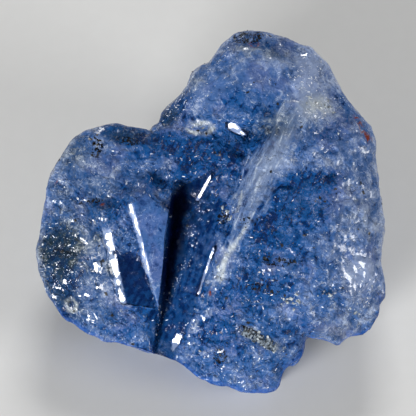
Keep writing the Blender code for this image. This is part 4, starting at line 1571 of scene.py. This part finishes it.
@dataclass(frozen=True)
class Specks:
    """Grains sunk in the skin, mineral or white glint slivers, thick where an attribute of the stone says so.
    """

    name: str
    attribute: str
    finish: SpeckFinish
    size: Point2
    shape: Point3
    seed: int
    sunk: float = 0.05
    roughness: Point3 = (1.9, 1.9, 0.4)
    smallness: float = 2.2
    tilt: float = 0.5

    def grain(self, recipe: Recipe) -> bpy.types.NodeSocket:
        """One rough grain about a millimetre across.

        Args:
            recipe: The group that makes it.

        Returns:
            The grain's mesh.
        """
        ball = recipe.node("GeometryNodeMeshIcoSphere", {}, "Mesh", Radius=0.5, Subdivisions=1)
        rough = recipe.node("ShaderNodeTexNoise", {}, "Color", Scale=1.7, Detail=2.0)
        offset = recipe.combined("ShaderNodeVectorMath", "SUBTRACT", rough, (0.5, 0.5, 0.5))
        offset = recipe.combined("ShaderNodeVectorMath", "MULTIPLY", offset, self.roughness)
        ball = recipe.node("GeometryNodeSetPosition", {}, Geometry=ball, Offset=offset)
        lift = (0.0, 0.0, self.sunk * self.shape[2])
        return recipe.node("GeometryNodeTransform", {}, Geometry=ball, Scale=self.shape, Translation=lift)

    def make(self, stone: bpy.types.Object, place: FacePlace) -> bpy.types.Object:
        """Scatters the specks over the stone, as one piece.

        Args:
            stone: The crystal's surface.
            place: Where the face lies.

        Returns:
            The piece.
        """
        recipe = Recipe(self.name)
        seed = recipe.input("Seed", "NodeSocketInt", self.seed)
        crowd = recipe.input("Per square metre", "NodeSocketFloat", 1.0 / MM**2)
        small = recipe.input("Smallest", "NodeSocketFloat", self.size[0] * MM)
        large = recipe.input("Largest", "NodeSocketFloat", self.size[1] * MM)
        share = recipe.node("GeometryNodeInputNamedAttribute", {"data_type": "FLOAT"}, Name=self.attribute)
        density = recipe.combined("ShaderNodeMath", "MULTIPLY", share, crowd)
        scatter = add_node(recipe.tree, "GeometryNodeDistributePointsOnFaces", {}, {
            "Mesh": recipe.start.outputs["Geometry"], "Density": density, "Seed": seed
        })
        chance = recipe.node("FunctionNodeRandomValue", {"data_type": "FLOAT"}, 1, Seed=seed)
        chance = recipe.combined("ShaderNodeMath", "POWER", chance, self.smallness)
        size = recipe.node("ShaderNodeMapRange", {}, Value=chance, To_Min=small, To_Max=large)
        spin = recipe.node(
            "FunctionNodeRandomValue", {"data_type": "FLOAT_VECTOR"}, Min=(-self.tilt, -self.tilt, 0.0),
            Max=(self.tilt, self.tilt, math.tau), Seed=seed,
        )
        turned = recipe.node(
            "FunctionNodeRotateRotation", {"rotation_space": "LOCAL"}, Rotation=scatter.outputs["Rotation"],
            Rotate_By=recipe.node("FunctionNodeEulerToRotation", {}, Euler=spin),
        )
        solid = recipe.node(
            "GeometryNodeInstanceOnPoints", {}, Points=scatter.outputs["Points"], Instance=self.grain(recipe),
            Rotation=turned, Scale=size,
        )
        solid = recipe.node("GeometryNodeRealizeInstances", {}, Geometry=solid)
        material = self.finish.build(place)
        solid = recipe.node("GeometryNodeSetMaterial", {}, Geometry=solid, Material=material)
        piece = recipe.applied(stone, solid, self.name)
        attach(piece, BODY)
        return piece


@dataclass(frozen=True)
class BarRow:
    """A row of short pale crystals, side by side, half sunk in the face."""

    start: Point2 = (2.25, -8.1)
    end: Point2 = (4.45, -9.3)
    count: int = 13
    size: Point3 = (0.62, 0.21, 0.168)
    radii: Point2 = (0.55, 0.38)
    turn_deg: float = 62.0
    place_wander: Point2 = (0.5, 0.12)
    length_wander: float = 0.5
    turn_wander: float = 0.7
    seed: int = 1795666534
    finish: SpeckFinish = SpeckFinish("pale_bar", (0.015, 0.022, 0.030), (0.30, 0.36, 0.43), 0.2)

    def make(self, stone: bpy.types.Object, place: FacePlace) -> None:
        """Builds the row as one piece.

        Args:
            stone: The crystal's surface.
            place: Where the face lies.
        """
        surface = BVHTree.FromObject(stone, bpy.context.evaluated_depsgraph_get())
        turn = place.plane.matrix().to_3x3()
        stand = Matrix.Rotation(math.radians(90.0), 4, "Y")
        mesh = bmesh.new()
        noise.seed_set(self.seed)  # Without it noise_vector starts from the clock.
        for number in range(self.count):
            wander = noise.noise_vector(Vector((number * 3.7, 1.3, 0.0)))
            share = (number + 0.5 + wander.x * self.place_wander[0]) / self.count
            u, v = (a + (b - a) * share for a, b in zip(self.start, self.end))
            above = Vector(place.placed((u, v + wander.y * self.place_wander[1], ABOVE_FACE)))
            hit = surface.ray_cast(above, turn @ Vector((0.0, 0.0, -1.0)))[0]
            size = Vector(self.size) * MM
            size.x *= 1.0 + self.length_wander * wander.z
            turned = math.radians(self.turn_deg) + wander.z * self.turn_wander
            lie = Matrix.LocRotScale(hit, turn @ Matrix.Rotation(turned, 3, "Z"), size)
            bmesh.ops.create_cone(
                mesh, cap_ends=True, segments=6, radius1=self.radii[0], radius2=self.radii[1], depth=1.0,
                matrix=lie @ stand,
            )
        bmesh.ops.recalc_face_normals(mesh, faces=mesh.faces[:])
        new_piece("pale_bars", mesh, self.finish.build(place))


@dataclass(frozen=True)
class Inclusions:
    """Black graphite flakes, pale grains and white slivers in the stone's skin, the slivers mostly painted
    glints.
    """

    kinds: tuple[Specks, ...] = (
        Specks("graphite_flakes", "graphite",
               SpeckFinish("graphite", (0.004, 0.004, 0.005), (0.012, 0.012, 0.013), 0.38),
               (0.06, 0.32), (1.0, 0.7, 0.34), 11),
        Specks("pale_grains", "grains",
               SpeckFinish("pale_grain", (0.16, 0.18, 0.20), (0.50, 0.56, 0.60), 0.15),
               (0.10, 0.34), (1.0, 0.7, 0.55), 23),
        # White slivers: mostly painted glints, partly pale sparkly grains.
        Specks("white_glint_slivers", "glint_slivers",
               SpeckFinish("white_glint_sliver", (0.45, 0.52, 0.66), (0.85, 0.88, 0.92), 0.15),
               (0.05, 0.18), (1.5, 0.42, 0.3), 37),
    )

    def make(self, stone: bpy.types.Object, place: FacePlace) -> None:
        """Builds each kind."""
        for specks in self.kinds:
            piece = specks.make(stone, place)
            LOG.info("%s: %d faces", piece.name, len(piece.data.polygons))


# The studio


@dataclass(frozen=True)
class Softbox:
    """A square white area light that faces the crystal."""

    name: str
    azimuth_deg: float
    rise_deg: float
    distance: float
    side: float
    power: float

    def make(self, aim: Vector) -> None:
        """Puts the light up."""
        data = bpy.data.lights.new(self.name, "AREA")
        data.shape = "SQUARE"
        data.size = self.side
        data.energy = self.power
        around, rise = math.radians(self.azimuth_deg), math.radians(self.rise_deg)
        away = Vector((math.sin(around) * math.cos(rise), -math.cos(around) * math.cos(rise), math.sin(rise)))
        light = new_object(self.name, data)
        light.location = aim + away * self.distance
        light.rotation_euler = away.to_track_quat("Z", "Y").to_euler()


@dataclass(frozen=True)
class Studio:
    """A plain floor, soft lights and the camera."""

    floor_side: float = 3.0
    camera_distance: float = 0.2
    sensor: float = 36.0
    view_width: float = 28.69
    clip_start: float = 0.01
    look_at: Point3 = (-0.17, 0.24, 0.0)
    ambient: float = 0.07
    aim: Point3 = (0.0, 0.0, 0.007)
    softboxes: tuple[Softbox, ...] = (
        Softbox("left_softbox", -38.0, 15.0, 0.30, 0.10, 1.24),
        Softbox("right_softbox", 70.0, 20.0, 0.35, 0.15, 0.70),
        Softbox("back_softbox", 175.0, 40.0, 0.35, 0.12, 0.72),
    )

    def floor(self) -> None:
        """A pale sheet under the crystal."""
        half = self.floor_side / 2.0
        data = bpy.data.meshes.new("floor")
        corners = [(-half, -half, 0.0), (half, -half, 0.0), (half, half, 0.0), (-half, half, 0.0)]
        data.from_pydata(corners, [], [(0, 1, 2, 3)])
        data.materials.append(PaperFinish().build())
        floor = new_object("floor", data)
        floor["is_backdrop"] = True

    def world(self) -> None:
        """Even pale light from all round."""
        world = bpy.data.worlds.new("studio")
        world.use_nodes = True
        background = world.node_tree.nodes["Background"]
        background.inputs["Color"].default_value = (1.0, 1.0, 1.0, 1.0)
        background.inputs["Strength"].default_value = self.ambient
        bpy.context.scene.world = world

    def camera(self, place: FacePlace) -> None:
        """Looks square at the grooved face."""
        data = bpy.data.cameras.new("camera")
        data.sensor_width = self.sensor
        data.lens = self.sensor * self.camera_distance / (self.view_width * MM)
        data.clip_start = self.clip_start
        camera = new_object("camera", data)
        turn = place.plane.matrix().to_3x3()
        camera.location = Vector(place.placed(self.look_at)) + turn @ Vector((0.0, 0.0, self.camera_distance))
        camera.rotation_euler = turn.to_euler()
        bpy.context.scene.camera = camera

    def make(self, place: FacePlace) -> None:
        """Sets the studio up around the crystal."""
        self.floor()
        self.world()
        self.camera(place)
        for softbox in self.softboxes:
            softbox.make(Vector(self.aim))
        bpy.context.scene.view_settings.view_transform = "Standard"


def main() -> None:
    """Builds the crystal and its studio."""
    logging.basicConfig(level=logging.INFO, format="%(name)s: %(message)s")
    solid_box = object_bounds()
    crystal = Crystal()
    stone, place = crystal.make()
    LOG.info("%s: %d triangles", stone.name, len(stone.data.polygons))
    HealedFractures().make(stone, place, crystal.form.core)
    Inclusions().make(stone, place)
    BarRow().make(stone, place)
    Studio().make(place)
    visual_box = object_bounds()
    sizes = {"cad": [list(corner) for corner in solid_box], "visual": [list(corner) for corner in visual_box]}
    LOG.info("solid %s, finished %s", *sizes.values())


if __name__ == "__main__":
    main()
